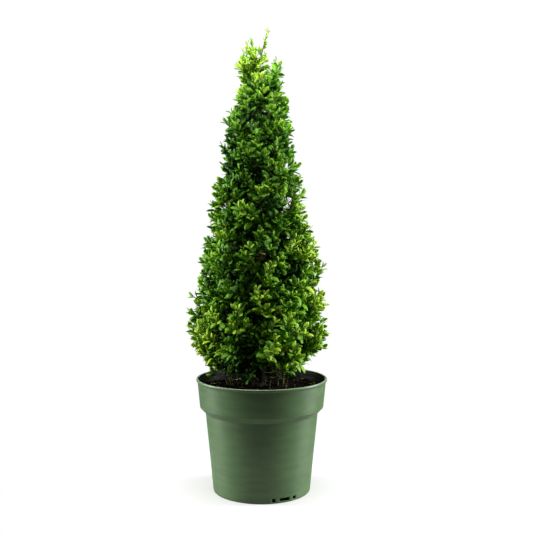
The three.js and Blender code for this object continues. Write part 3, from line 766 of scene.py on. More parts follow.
def grow_leaves(shoots, own, draw, plan):
    """Leaves down each shoot from its tip, a golden angle apart. They open wider and are larger further
    down, and each turns its upper side to the shoot's tip and a little to the light."""
    size = lengths(shoots)
    steps = np.arange(plan.leaves)
    luck = draw.uniform(-LEAFING.foot_luck, LEAFING.foot_luck, (len(shoots), plan.leaves))
    t = 1 - (LEAFING.first + steps * plan.leaf_spacing + luck) / size[:, None]
    keep = t > LEAFING.lowest_foot
    t = np.clip(t, 0, 1)
    foot = curve_points(shoots, t)
    ways = curve_ways(shoots, t)
    side, third = frames_along(ways, ways)
    turn = steps * GOLDEN_ANGLE + draw.uniform(0, 2 * np.pi, (len(shoots), 1))
    turn = (turn + draw.normal(0, LEAFING.turn_luck, t.shape))[..., None]
    grown = np.clip(steps / LEAFING.grown_by, 0, 1)
    open_by = np.radians(mix(plan.tip_angle, plan.leaf_angle, grown))
    open_by = (open_by * draw.uniform(*LEAFING.opening, t.shape))[..., None]
    lean = np.cos(turn) * side + np.sin(turn) * third
    along = unit(np.cos(open_by) * ways + np.sin(open_by) * lean)
    light = unit(outwards(foot) + LEAFING.lift * UP)
    luck = draw.normal(0, LEAFING.way_luck, foot.shape)
    facing = unit(ways - LEAFING.lean_back * lean + LEAFING.to_light * light + luck)
    across = unit(np.cross(facing, along))
    facing = np.cross(along, across)
    scale = mix(LEAFING.youngest, 1, grown) * draw.uniform(*LEAFING.size_luck, t.shape) * plan.size
    return Sizes(
        foot=foot[keep],
        ways=np.stack([along, across, facing], axis=-2)[keep],
        size=scale[keep],
        fold=draw.uniform(*LEAFING.fold, t.shape)[keep],
        curl=draw.normal(LEAFING.curl, LEAFING.curl_luck, t.shape)[keep],
        shoot=np.broadcast_to(np.arange(len(shoots))[:, None], t.shape)[keep],
        step=np.broadcast_to(steps, t.shape)[keep],
        own=np.broadcast_to(own[:, None], t.shape)[keep],
    )


def pick(leaves, kept):
    """The leaves that a mask keeps."""
    return Sizes(**{name: values[kept] for name, values in vars(leaves).items()})


# Room: what twigs, shoots and leaves keep to the pot, the soil, the limbs and each other's spaces

ROOM = Sizes(
    over_rim=5, over_soil=11, inside_mouth=8, shoot_over_pot=3, from_limb=1, leaf_from_limb=0.8,
    tip_past_space=4, twig_probe=np.linspace(0.35, 1, 5), shoot_probe=np.array([0.5, 1]), block=4000,
    trunk_joints=25, bough_joints=7,
)


def clearance(points, feet, ends, radii):
    """The clear distance from points to the straight pieces of limbs, in blocks of points."""
    along = ends - feet
    square = (along**2).sum(-1)
    found = []
    for block in np.array_split(points, max(1, len(points) // ROOM.block)):
        share = ((block[:, None] - feet) * along).sum(-1) / square
        nearest = feet + np.clip(share, 0, 1)[..., None] * along
        found.append((np.linalg.norm(block[:, None] - nearest, axis=-1) - radii).min(1))
    return np.concatenate(found)


def limb_pieces(masses):
    """The trunk and the boughs as straight pieces, each with its foot, end and radius."""
    heights = np.linspace(TRUNK.foot_height, TRUNK.top_height, ROOM.trunk_joints)
    lines = [(axis_at(heights), trunk_radius(heights))]
    for mass in masses:
        if mass.bough:
            t = np.linspace(0, 1, ROOM.bough_joints)
            lines.append((curve_points(mass.bough.curve[None], t)[0], mix(*mass.bough.radii, t)))
    feet = np.concatenate([line[:-1] for line, _ in lines])
    ends = np.concatenate([line[1:] for line, _ in lines])
    radii = np.concatenate([r[:-1] for _, r in lines])
    return feet, ends, radii


def over_pot(points):
    """How far points lie above the rim, or above the soil where they are well inside the mouth."""
    inside = np.linalg.norm(points[:, :2], axis=-1) < POT.mouth_radius - ROOM.inside_mouth
    return points[:, 2] - np.where(inside, SOIL.middle_height + ROOM.over_soil, POT.height + ROOM.over_rim)


def open_to_pot(curves, along, least):
    """True for each curve whose points at the shares along it are that far above pot and soil or more."""
    probe = curve_points(curves, along)
    return over_pot(probe.reshape(-1, 3)).reshape(len(curves), -1).min(1) > least


def clear_of_limbs(curves, along, limbs):
    """True for each curve whose points at the shares along it keep off the trunk and the boughs."""
    probe = curve_points(curves, along)
    return clearance(probe.reshape(-1, 3), *limbs).reshape(len(curves), -1).min(1) > ROOM.from_limb


def fitting_leaves(leaves, hearts, limbs):
    """The leaves that stay near their own mass's space, above the pot, off the limbs and out of the gaps."""
    tip = leaves.foot + LEAF.length * leaves.size[:, None] * leaves.ways[:, 0]
    middle = (leaves.foot + tip) / 2
    tip_free = depth_in_space(tip, leaves.own, hearts) + ROOM.tip_past_space
    free = np.minimum(depth_in_space(middle, leaves.own, hearts), tip_free)
    keep = (free > -LEAF.lap) & (over_pot(tip) > 0) & (over_pot(middle) > 0)
    keep &= np.minimum(clearance(tip, *limbs), clearance(middle, *limbs)) > ROOM.leaf_from_limb
    for place in GAPS:
        keep &= away_from(middle, place) > 1
    return pick(leaves, keep)


# Bark: the trunk and the boughs with their relief. Each relief is a share of the limb's radius and a length.

BARK = Sizes(
    ridge=0.05, ridge_width=2.6, ridge_waves=14, drawn_out=np.array([1, 1, 0.16]),
    swelling=0.035, swelling_length=9, scar=0.03, scar_length=4.5, round_limb=np.array([0.3, 0.3, 1]),
)
TRUNK_SKIN = Sizes(rings=190, crowding=1.3, sides=30, seed=3)
BOUGH_SKIN = Sizes(rings=40, sides=14, seed=40)
ROOTS = Sizes(count=5, swelling=0.16, first_turn=0.6, height=9)


def bark_line(points, radii, sides, seed):
    """A limb's skin: a rod along its line whose radius rises and falls by long narrow ridges, by soft
    swellings and by the small rings that old leaves left."""
    rods, quads, caps = tubes(points[None], radii[None], sides)
    skin = rods[:-2].reshape(len(points), sides, 3)
    middle = points[:, None]
    ridges = BARK.ridge * waves(skin * BARK.drawn_out, BARK.ridge_width, seed, BARK.ridge_waves)
    relief = ridges + BARK.swelling * waves(skin, BARK.swelling_length, seed + 1)
    rings = waves(skin * BARK.round_limb, BARK.scar_length, seed + 2)
    scars = BARK.scar * np.maximum(0, rings) ** 2
    skin = middle + (skin - middle) * (1 + relief + scars)[..., None]
    return np.concatenate([skin.reshape(-1, 3), rods[-2:]]), quads, caps


def make_bark(masses, material):
    """The trunk from its flat foot to its tip, swollen where the roots begin, and the boughs out of it."""
    along = np.linspace(0, 1, TRUNK_SKIN.rings) ** TRUNK_SKIN.crowding
    heights = mix(TRUNK.foot_height, TRUNK.top_height, along)
    axis = axis_at(heights)
    points, quads, caps = bark_line(axis, trunk_radius(heights), TRUNK_SKIN.sides, TRUNK_SKIN.seed)
    away = points[:-2].reshape(len(heights), TRUNK_SKIN.sides, 3) - axis[:, None]
    angle = np.arctan2(away[..., 1], away[..., 0])
    fading = np.exp(-(heights - TRUNK.foot_height) / ROOTS.height)[:, None]
    roots = ROOTS.swelling * np.cos(ROOTS.count * angle + ROOTS.first_turn) * fading
    skin = axis[:, None] + away * LEVEL * (1 + roots)[..., None]
    parts = [(np.concatenate([skin.reshape(-1, 3), points[-2:]]), quads, caps)]
    for number, mass in enumerate(masses):
        if mass.bough:
            t = np.linspace(0, 1, BOUGH_SKIN.rings)
            line = curve_points(mass.bough.curve[None], t)[0]
            radii = mix(*mass.bough.radii, t)
            parts.append(bark_line(line, radii, BOUGH_SKIN.sides, BOUGH_SKIN.seed + number))
    points, quads, caps = join(parts)
    bark = make_object("bark", points, (quads, caps), [material])
    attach(bark, "root")
    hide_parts("trunk", *[f"bough_{mass.name}" for mass in masses if mass.bough])


# Pot

# The rows of its skin, with radius and height, and with the radius only on the floor. There are as many rows
# under the slots outside as past them inside.
POT_SKIN = Sizes(
    columns=240, underside=((40, 0), (79, 0), (82.4, 0), (83.9, 0.3), (84.8, 1.2)), floor_edge=82.4,
    floor=(81, 79, 75, 60, 40), slot_rows=5, over_slots=(0.5, 1.5, 6), wall_rows=9, under_waist=2,
    step_rows=(0.2, 0.8), band_rows=(0.04, 0.3, 0.6, 0.95), rounding_points=5, angle_digits=5,
)


def rounded(corners):
    """A profile whose corners are curves: each runs from its rounding's length before the corner to as far
    after it, by (1-t)^2, 2t(1-t) and t^2 with the corner in the middle. A rounding of 0 keeps the corner."""
    places = np.array([c[:2] for c in corners], float)
    points = []
    for i, (_, _, rounding) in enumerate(corners):
        if rounding == 0:
            points.append(places[i])
            continue
        before = places[i] + rounding * unit(places[i - 1] - places[i])
        after = places[i] + rounding * unit(places[i + 1] - places[i])
        for t in np.linspace(0, 1, POT_SKIN.rounding_points):
            points.append((1 - t) ** 2 * before + 2 * t * (1 - t) * places[i] + t**2 * after)
    return np.array(points)


def revolve(profile, angles):
    """Rows of points round Z: each point of a profile of radius and height is carried to all angles."""
    radius, height = profile[:, 0, None], profile[:, 1, None]
    return np.stack([radius * np.cos(angles), radius * np.sin(angles), height + 0 * angles], axis=-1)


def closing_faces(rows, columns):
    """Triangles that close a revolved grid: under its first row and over its last, to the two points that
    follow the grid's own."""
    under = pole_faces(0, columns, rows * columns, False)
    over = pole_faces(rows - 1, columns, rows * columns + 1, True)
    return np.concatenate([under, over])


def wall_radius(height):
    """The pot's outer radius between its foot and waist."""
    return mix(POT.foot_radius, POT.waist_radius, height / POT.waist_height)


def pot_profile():
    """The rows of the pot's skin from the middle of its underside to the lip, down inside and along the
    floor, each with its radius and height, and the first and last row of the slots."""
    p, skin = POT, POT_SKIN
    notch = DRAIN.sill + DRAIN.height
    slot_heights = np.linspace(DRAIN.sill, notch, skin.slot_rows)[1:-1]
    slot_rows = [[wall_radius(z), z] for z in (DRAIN.sill, *slot_heights)]
    inner_slot_rows = [[wall_radius(z) - p.wall, z] for z in slot_heights[::-1]]
    low, high, first_wall = (notch + rise for rise in skin.over_slots)
    wall_heights = [low, high, *np.linspace(first_wall, p.waist_height - skin.under_waist, skin.wall_rows)]
    waist, band = (p.waist_radius, p.waist_height), (p.band_radius, p.band_height)
    mouth = (p.mouth_radius, p.height - p.lip_height)
    inner_mouth = p.mouth_radius - p.wall
    outer = rounded(
        [
            # radius, height and rounding, up the outside and down the inside
            (wall_radius(notch), notch, 0),
            *[(wall_radius(z), z, 0) for z in wall_heights],
            (*waist, 0.7),
            *[(*mix(np.array(waist), np.array(band), share), 0) for share in skin.step_rows],
            (*band, 0.7),
            *[(*mix(np.array(band), np.array(mouth), share), 0) for share in skin.band_rows],
            (*mouth, 0.9),
            (p.lip_radius, p.height - p.lip_height + 1, 0.9),
            (p.lip_radius, p.height, p.lip_round),
            (inner_mouth, p.height, 0.9),
            (inner_mouth - 0.2, p.height - 8, 0),
            (inner_mouth - 1.2, p.height - 9, 0.5),
            (p.band_radius - p.wall, p.band_height + p.wall, 1.2),
            (p.waist_radius - p.wall, p.waist_height + p.wall, 1.6),
            *[(wall_radius(z) - p.wall, z, 0) for z in wall_heights[::-1]],
            (wall_radius(notch) - p.wall, notch, 0),
        ]
    )
    floor_rows = [[skin.floor_edge, DRAIN.sill], *[[radius, p.floor] for radius in skin.floor]]
    profile = np.concatenate([skin.underside, slot_rows, outer, inner_slot_rows, floor_rows])
    first = len(skin.underside)
    return profile, first, first + len(slot_rows)


def make_pot(materials):
    """The pot's skin, turned round Z. The drain slots are left out of the grid of quads, and walls join the
    two skins round each slot. The lip's upper edge has the second material, paler as a painted highlight,
    and the skin inside the mouth the third, nearly black as a painted shade."""
    profile, first, last = pot_profile()
    edges = [
        np.radians(DRAIN.first_angle + 360 / DRAIN.groups * group + turn - 90)
        for group in range(DRAIN.groups)
        for slot in DRAIN.slots
        for turn in slot
    ]
    evenly = np.linspace(0, 2 * np.pi, POT_SKIN.columns, endpoint=False)
    angles = np.unique(np.round(np.mod([*evenly, *edges], 2 * np.pi), POT_SKIN.angle_digits))
    columns, rows = len(angles), len(profile)
    points = np.concatenate([revolve(profile, angles).reshape(-1, 3), [[0, 0, 0], [0, 0, POT.floor]]])
    quads = ring_faces(rows, columns)
    whole = np.ones((rows - 1, columns), bool)
    walls = []
    for start, end in zip(edges[::2], edges[1::2]):
        a, b = (int(np.argmin(np.abs(angles - np.mod(edge, 2 * np.pi)))) for edge in (start, end))
        cells = np.arange(a, b if b > a else b + columns) % columns
        for low, high in ((first, last), (rows - 1 - last, rows - 1 - first)):
            whole[low:high, cells] = False
        outside = np.arange(first, last + 1)
        within = rows - 1 - outside
        for column, turned in ((a, False), (b, True)):
            corner_rows = np.stack([outside[:-1], outside[1:], within[1:], within[:-1]], axis=-1)
            quad = corner_rows * columns + column
            walls.append(quad if turned else quad[:, ::-1])
        for row, turned in ((first, True), (last, False)):
            near = row * columns
            far = (rows - 1 - row) * columns
            beside = (cells + 1) % columns
            quad = np.stack([near + cells, near + beside, far + beside, far + cells], axis=-1)
            walls.append(quad if turned else quad[:, ::-1])
    # The lip's upper edge takes the painted highlight, and the skin inside the mouth the painted shade.
    top_row = profile[:, 1].argmax()
    mouth_row = top_row + np.argmax(profile[top_row:, 1] < POT.height - 1) - 1
    edge_row = np.argmax(profile[:, 1] > POT.height - POT.lip_round / 2)
    grid_row = np.arange(rows - 1)
    skin = 2.0 * (grid_row >= mouth_row) + ((grid_row >= edge_row) & (grid_row < mouth_row))
    skin = np.broadcast_to(skin[:, None], whole.shape)[whole]
    quads = np.concatenate([quads[whole], *walls])
    poles = closing_faces(rows, columns)
    kinds = np.zeros(len(quads) + len(poles))
    kinds[:len(skin)] = skin
    pot = make_object("pot", points, (quads, poles), materials, kinds)
    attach(pot, "root")
    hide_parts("pot")


# Soil, with its lumps: the height, the length and the seed of each kind

SOIL_LUMPS = ((1.1, 34, 61), (0.9, 12, 62), (0.5, 5, 63))
SOIL_TOP = Sizes(sunk=0.6, quiet_radius=8, quiet_over=20, quiet_share=0.1, middle=3, rows=56, columns=180)


def soil_height(radius):
    """The soil's level: highest in the middle and falling to the pot's wall."""
    share = np.clip((radius - SOIL.flat_radius) / (POT.mouth_radius - SOIL.flat_radius), 0, 1)
    return mix(SOIL.middle_height, SOIL.edge_height, share)


def soil_surface(x, y):
    """The soil's level with its lumps, which die away at the trunk's foot."""
    radius = np.hypot(x, y)
    flat = np.stack([x, y, 0 * x], axis=-1)
    lumps = sum(height * waves(flat, length, seed) for height, length, seed in SOIL_LUMPS)
    loud = np.clip((radius - SOIL_TOP.quiet_radius) / SOIL_TOP.quiet_over, SOIL_TOP.quiet_share, 1)
    return soil_height(radius) - SOIL_TOP.sunk + lumps * loud


def make_soil(material):
    """The soil as a plug in the pot with an uneven top."""
    p = POT
    inner = p.wall + CLEAR
    bottom = p.floor + CLEAR
    share = (SOIL.edge_height - p.band_height) / (p.height - p.band_height)
    edge = mix(p.band_radius, p.mouth_radius, share) - inner - CLEAR
    side = np.array(
        [
            # radius and height, out along the bottom and up the side with a little play at each bend
            [40.0, bottom],
            [p.foot_radius - inner - 2, bottom],
            [p.foot_radius - inner, bottom + 2],
            [p.waist_radius - inner - 0.4, p.waist_height + inner],
            [p.band_radius - inner - 0.4, p.band_height + inner],
            [edge - 1, SOIL.edge_height - 3],
        ]
    )
    across = np.linspace(edge, SOIL_TOP.middle, SOIL_TOP.rows)
    profile = np.concatenate([side, np.stack([across, 0 * across], axis=-1)])
    columns, rows = SOIL_TOP.columns, len(profile)
    grid = revolve(profile, np.linspace(0, 2 * np.pi, columns, endpoint=False))
    top = grid[len(side):]
    grid[len(side):, :, 2] = soil_surface(top[..., 0], top[..., 1])
    ends = [[0, 0, bottom], [0, 0, SOIL.middle_height - SOIL_TOP.sunk]]
    points = np.concatenate([grid.reshape(-1, 3), ends])
    faces = (ring_faces(rows, columns).reshape(-1, 4), closing_faces(rows, columns))
    soil = make_object("soil", points, faces, [material])
    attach(soil, "root")
    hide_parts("soil")


# Chips in the soil: peat crumbs, bark, red wood and pale slivers are materials 0 to 3

CHIP_KINDS = (
    # count, length, width and thickness, how far the lengths vary, and the number of the material
    Sizes(count=1500, size=(3.0, 2.3, 1.8), spread=0.5, kind=0),
    Sizes(count=260, size=(7.5, 3.4, 1.4), spread=0.45, kind=1),
    Sizes(count=120, size=(8.5, 2.6, 1.2), spread=0.4, kind=2),
    Sizes(count=20, size=(8.0, 1.8, 1.0), spread=0.4, kind=3),
)
PLACED_CHIPS = (
    # across, back, length, width, turn in degrees and the number of the material
    (88, 33, 13, 5, 10, 3),
    (94, 40, 9, 4, -30, 3),
    (74, 71, 11, 5, 35, 3),
    (72, 55, 10, 5, 60, 2),
    (64, 62, 12, 4, -20, 2),
    (80, 47, 9, 4, 15, 2),
    (58, 50, 9, 5, 80, 2),
    (-88, 33, 14, 4, 20, 3),
    (-80, 38, 9, 3, -15, 3),
    (-92, 24, 10, 3, 40, 2),
    (-58, 76, 12, 4, -35, 3),
    (-46, 66, 8, 3, 10, 3),
    (-20, 72, 10, 3, 65, 2),
    (20, 80, 11, 3, -40, 3),
)
CHIPS = Sizes(
    seed=77, from_wall=7, least_area=0.012, corner_luck=0.28, tilt=0.35, raised=0.25,
    placed_thickness=3.0, placed_raised=1.2,
)
CHIP_CORNERS = np.array(
    [
        [1, 0, 0], [-1, 0, 0], [0, 1, 0], [0, -1, 0], [0, 0, 1], [0, 0, -1],
        [0.62, 0.62, 0.3], [-0.62, -0.62, 0.3],
    ],
    float,
)
CHIP_FACES = np.array(
    [
        [0, 6, 4], [6, 2, 4], [2, 1, 4], [1, 7, 4], [7, 3, 4], [3, 0, 4],
        [6, 0, 5], [2, 6, 5], [1, 2, 5], [7, 1, 5], [3, 7, 5], [0, 3, 5],
    ]
)


def make_chips(materials):
    """Crumbs of peat, pieces of bark and slivers of wood that lie in the soil's surface: lumps of twelve
    faces whose corners are drawn out to each one's own length, width and thickness, each turned its own
    way."""
    draw = np.random.default_rng(CHIPS.seed)
    points, kinds = [], []
    for chip in CHIP_KINDS:
        n = chip.count
        radius = (POT.mouth_radius - CHIPS.from_wall) * np.sqrt(draw.uniform(CHIPS.least_area, 1, n))
        angle = draw.uniform(0, 2 * np.pi, n)
        x, y = radius * np.cos(angle), radius * np.sin(angle)
        size = np.array(chip.size) / 2 * draw.uniform(1 - chip.spread, 1 + chip.spread, (n, 3))
        luck = draw.uniform(-CHIPS.corner_luck, CHIPS.corner_luck, (n, len(CHIP_CORNERS), 1))
        shape = CHIP_CORNERS * (1 + luck) * size[:, None]
        spin, tilt = draw.uniform(0, 2 * np.pi, n), draw.normal(0, CHIPS.tilt, n)
        shape = turned_about(shape, np.array([0, 1.0, 0]), tilt[:, None] + 0 * shape[..., 0])
        shape = turned_about(shape, UP, spin[:, None] + 0 * shape[..., 0])
        place = np.stack([x, y, soil_surface(x, y) + CHIPS.raised * size[:, 2]], axis=-1)
        points.append((shape + place[:, None]).reshape(-1, 3))
        kinds.append(np.full(n * len(CHIP_FACES), chip.kind))
    for x, y, length, width, turn, kind in PLACED_CHIPS:
        shape = CHIP_CORNERS * (np.array([length, width, CHIPS.placed_thickness]) / 2)
        shape = turned_about(shape, UP, np.full(len(shape), np.radians(turn)))
        points.append(shape + np.array([x, y, soil_surface(float(x), float(y)) + CHIPS.placed_raised]))
        kinds.append(np.full(len(CHIP_FACES), kind))
    points, kinds = np.concatenate(points), np.concatenate(kinds)
    step = np.arange(0, len(points), len(CHIP_CORNERS))[:, None, None]
    faces = (CHIP_FACES + step).reshape(-1, 3)
    chips = make_object("soil_chips", points, (faces,), materials, kinds, smooth=False)
    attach(chips, "root")
    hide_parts("soil")


# Foliage: the tints of its leaves from the oldest to the youngest and the dry one, each with its roughness

TINTS = (
    ("leaf_deep", 0x2E5A14, 0.5),
    ("leaf_old", 0x3F7018, 0.5),
    ("leaf_grown", 0x4C8318, 0.48),
    ("leaf_fresh", 0x61971B, 0.48),
    ("leaf_new", 0x79A721, 0.5),
    ("leaf_youngest", 0x98BC31, 0.5),
    ("leaf_dry", 0x6C5838, 0.6),
)
DRY = len(TINTS) - 1
# A leaf's brightness is the number of its tint. It is highest at the crown's face and falls over a depth
# (partly older leaves and partly painted shade), less so in the head, which gains (partly young shoots and
# partly painted light). in_order is what the leaves down a shoot add, from its tip on.
BRIGHT = Sizes(
    face=3.0, fall=2.0, over=40, proud=-0.1, fall_lost_in_head=0.5, shoot_luck=0.42, leaf_luck=0.25,
    wave=0.45, wave_length=70, wave_seed=91, front=30, head_from=670, head_over=70, head_gain=1.5, margin=12,
    in_order=(1.0, 0.7, 0.35, 0.1, 0, -0.1, -0.15, -0.2, -0.25),
)
# A few leaves have browned at the front, half way up the plant, and the odd one elsewhere.
DRY_SPOT = np.array([-2.0, -88.0, 404.0])
DRY_REACH = np.array([5.0, 18.0, 22.0])
DRY_SHARE = 0.0004
INNER_OLD = 0.75  # the share of the inner leaves that is a little lighter than the rest

# The tips of the long shoots that the shears left on the head, with the leader first
LEADERS = np.array(
    [
        [8, -3, 791], [-30, -8, 756], [-24, -4, 768], [-15, 6, 772], [23, -4, 744], [5, 24, 754],
        [-9, -20, 750],
    ],
    float,
)
# The height from which the crown lets light in: no inner leaves, and one in so many outer tips left out
OPEN_HEAD = Sizes(height=696, thinned=4)
# Low growth inside the crown hangs over the soil and hides the trunk's foot, but for a cave in the front.
SKIRT = Sizes(tips=120, radius=(24, 92), height=(198, 228), cave=(-66, 8), cave_back=-10, right=56)
# Suckers rise from the soil to the crown's lower edge. Each has its foot, tip, radius and number of leaves.
SUCKERS = (
    Sizes(foot=(-55, 14), tip=(-78, -12, 230), radius=1.1, leaves=2),
    Sizes(foot=(-60, 8), tip=(-88, -16, 226), radius=1.0, leaves=3),
    Sizes(foot=(-50, 6), tip=(-69, -30, 226), radius=0.9, leaves=2),
    Sizes(foot=(38, 12), tip=(39, -34, 217), radius=1.5, leaves=6),
    Sizes(foot=(28, -2), tip=(30, -50, 207), radius=1.1, leaves=6),
    Sizes(foot=(-14, -8), tip=(-26, -36, 204), radius=0.6, leaves=8),
    Sizes(foot=(-2, -12), tip=(-10, -44, 206), radius=0.6, leaves=8),
    Sizes(foot=(14, -26), tip=(16, -62, 205), radius=0.6, leaves=8),
    Sizes(foot=(42, -22), tip=(46, -58, 209), radius=0.7, leaves=8),
)
SUCKER_BEND = Sizes(foot_depth=1, share=np.array([0.2, 0.2, 0.7]), tip_radius=0.6)
# The leaves that make one piece each, by the names of their masses
GROUPS = (
    ("low_right", ("1_1", "1_2", "1_6")),
    ("low_left", ("1_3", "1_4", "1_5", "sprig")),
    ("tier_2", tuple(f"2_{i}" for i in range(1, 6))),
    ("tier_3", tuple(f"3_{i}" for i in range(1, 5))),
    ("tier_4", tuple(f"4_{i}" for i in range(1, 4))),
    ("top", ("top",)),
)
# Twigs are thicker the longer they are. Radii in millimetres, and the rings and sides of each kind of rod.
WOOD = Sizes(
    twig_base=0.75, twig_per_length=0.011, twig_limits=(0.8, 1.9), twig_tip=0.7, shoot=(0.62, 0.4),
    stem_rings=9, stem_sides=8, twig_rings=7, twig_sides=6, sucker_rings=9, sucker_sides=8, shoot_rings=4,
    shoot_sides=4,
)
FOLIAGE_SEED = 11


def deal_tints(leaves, draw):
    """The tint of each leaf. A shoot has its own brightness, which is higher near the crown's face, at the
    head, in the places of young growth and painted light and where a broad wave is high, and lower in the
    places of painted shade. The fall with depth is partly painted shade and the head's gain partly painted
    light. Its youngest leaves are brighter still."""
    b = BRIGHT
    middle = leaves.foot + 0.5 * LEAF.length * leaves.size[:, None] * leaves.ways[:, 0]
    out = middle - axis_at(middle[:, 2])
    angle = np.arctan2(out[:, 1], out[:, 0])
    height = np.clip(middle[:, 2], CROWN.bottom + b.margin, CROWN.head - b.margin)
    depth = crown_radius(height, angle) - np.hypot(out[:, 0], out[:, 1])
    shoot_luck = draw.normal(0, b.shoot_luck, leaves.shoot.max() + 1)[leaves.shoot]
    growth_and_painted_light = b.wave * waves(middle, b.wave_length, b.wave_seed)
    # spots of young growth and painted light, and of painted shade where the gain is below zero
    for *place, gain in GROWTH_PAINTED_LIGHT_AND_SHADE:
        growth_and_painted_light += np.where(middle[:, 1] < b.front, gain * nearness(middle, place), 0)
    in_head = np.clip((middle[:, 2] - b.head_from) / b.head_over, 0, 1)
    # the fall with depth is partly older leaves and partly painted shade; the head's gain partly painted
    # light
    fall = b.fall * np.clip(depth / b.over, b.proud, 1) * (1 - b.fall_lost_in_head * in_head)
    bright = b.face - fall + shoot_luck + growth_and_painted_light
    bright += np.array(b.in_order)[np.minimum(leaves.step, len(b.in_order) - 1)]
    bright += b.head_gain * in_head
    leaf_luck = draw.normal(0, b.leaf_luck, len(depth))
    tint = np.clip(np.round(bright + leaf_luck), 0, DRY - 1).astype(int)
    dry = np.linalg.norm((middle - DRY_SPOT) / DRY_REACH, axis=-1) < 1
    dry |= draw.uniform(0, 1, len(tint)) < DRY_SHARE
    tint[dry & (leaves.step > 1)] = DRY
    return tint


def mass_tips(mass, tips, owner, number):
    """The tips that a mass grows to: its own share of the crown's, with the long shoots for the head, or the
    sprig's few."""
    if mass.name == "sprig":
        steps = np.arange(SPRIG.tips)
        turn = np.radians(SPRIG.first_turn + SPRIG.turn * steps)
        rise = SPRIG.tip_rise + SPRIG.tip_step * steps
        spread = [SPRIG.spread_x * np.cos(turn), SPRIG.spread_y * np.sin(turn), rise]
        return mass.heart + np.stack(spread, axis=-1)
    mine = tips[owner == number]
    return np.concatenate([mine, LEADERS]) if mass.name == "top" else mine


def face_and_inner_tips(draw):
    """The tips at the crown's face with those of its skirt, and the tips inside it."""
    outer = crown_tips(OUTER.tips, OUTER.inset, draw)
    thinned = np.arange(len(outer)) % OPEN_HEAD.thinned == 0
    outer = outer[(outer[:, 2] < OPEN_HEAD.height) | ~thinned]
    inner = crown_tips(INNER.tips, INNER.inset, draw)
    inner = inner[inner[:, 2] < OPEN_HEAD.height]
    turn = np.arange(SKIRT.tips) * GOLDEN_ANGLE
    reach = draw.uniform(*SKIRT.radius, SKIRT.tips)
    height = draw.uniform(*SKIRT.height, SKIRT.tips)
    low = np.stack([reach * np.cos(turn), reach * np.sin(turn), height], axis=-1)
    left, right = SKIRT.cave
    in_cave = (low[:, 0] > left) & (low[:, 0] < right) & (low[:, 1] < SKIRT.cave_back)
    return np.concatenate([outer, low[~in_cave & (low[:, 0] < SKIRT.right)]]), inner


def grow_suckers(hearts, draw):
    """The suckers' curves and their leaves, which belong to the nearest masses."""
    curves = []
    for sucker in SUCKERS:
        level = soil_surface(*np.array(sucker.foot, float)) - SUCKER_BEND.foot_depth
        foot = np.array([*sucker.foot, level])
        tip = np.array(sucker.tip, float)
        curves.append([foot, mix(foot, tip, SUCKER_BEND.share), tip])
    curves = np.array(curves)
    own = np.linalg.norm(curves[:, 2][:, None] - hearts, axis=-1).argmin(1)
    leaves = grow_leaves(curves, own, draw, SUCKER)
    wanted = np.array([sucker.leaves for sucker in SUCKERS])[leaves.shoot]
    return curves, pick(leaves, leaves.step < wanted)


def grow_layer(twigs, own, plan, limbs, draw):
    """The shoots of one layer of twigs and the leaves on them."""
    shoots, shoot_own = grow_shoots(twigs, own, draw, plan)
    kept = open_to_pot(shoots, ROOM.shoot_probe, ROOM.shoot_over_pot)
    kept &= clear_of_limbs(shoots, ROOM.shoot_probe, limbs)
    return shoots[kept], grow_leaves(shoots[kept], shoot_own[kept], draw, plan)


def ends_in(curves, tips):
    """True for each curve that ends in one of the tips."""
    return np.abs(curves[:, 2][:, None] - tips).sum(-1).min(1) < SMALL


def grow_foliage(masses):
    """Every stem, twig, shoot and leaf of the masses, as arrays."""
    draw = np.random.default_rng(FOLIAGE_SEED)
    hearts = np.array([mass.heart for mass in masses])
    crown_hearts = hearts[:-1]
    face, inner = face_and_inner_tips(draw)
    tips = np.concatenate([face, inner])
    owner = np.linalg.norm(tips[:, None] - crown_hearts, axis=-1).argmin(1)
    limbs = limb_pieces(masses)
    stems, twigs, own = [], [], []
    for number, mass in enumerate(masses):
        stem, curves = grow_twigs(mass, mass_tips(mass, tips, owner, number))
        stems.append(stem)
        twigs.append(curves)
        own += [number] * len(curves)
    twigs, own = np.concatenate(twigs), np.array(own)
    usable = open_to_pot(twigs, ROOM.twig_probe, 0) & clear_of_limbs(twigs, ROOM.twig_probe, limbs)
    usable |= ends_in(twigs, LEADERS)
    twigs, own = twigs[usable], own[usable]
    leading, deep = ends_in(twigs, LEADERS), ends_in(twigs, inner)
    near = ~leading & ~deep
    shoots, leaves = grow_layer(twigs[near], own[near], OUTER, limbs, draw)
    leader_shoots, leader_leaves = grow_layer(twigs[leading], own[leading], LEADER, limbs, draw)
    deep_shoots, inner_leaves = grow_layer(twigs[deep], own[deep], INNER, limbs, draw)
    stem_leaves = grow_leaves(twigs[leading], own[leading], draw, LEADER_STEM)
    suckers, sucker_leaves = grow_suckers(crown_hearts, draw)
    sets = [leaves, leader_leaves, stem_leaves, sucker_leaves]
    first = 0
    for part, curves in zip(sets, (shoots, leader_shoots, twigs[leading], suckers)):
        part.shoot = part.shoot + first
        first += len(curves)
    leaves = Sizes(**{name: np.concatenate([getattr(part, name) for part in sets]) for name in vars(leaves)})
    leaves = fitting_leaves(leaves, hearts, limbs)
    leaves.tint = deal_tints(leaves, draw)
    inner_leaves = fitting_leaves(inner_leaves, hearts, limbs)
    # the inner leaves take only the two darkest tints: partly their age, partly painted shade
    inner_leaves.tint = (draw.uniform(0, 1, len(inner_leaves.size)) < INNER_OLD).astype(int)
    shoots = np.concatenate([shoots, leader_shoots, deep_shoots])
    return Sizes(
        stems=np.array(stems), twigs=twigs, shoots=shoots, suckers=suckers, leaves=leaves,
        inner_leaves=inner_leaves,
    )


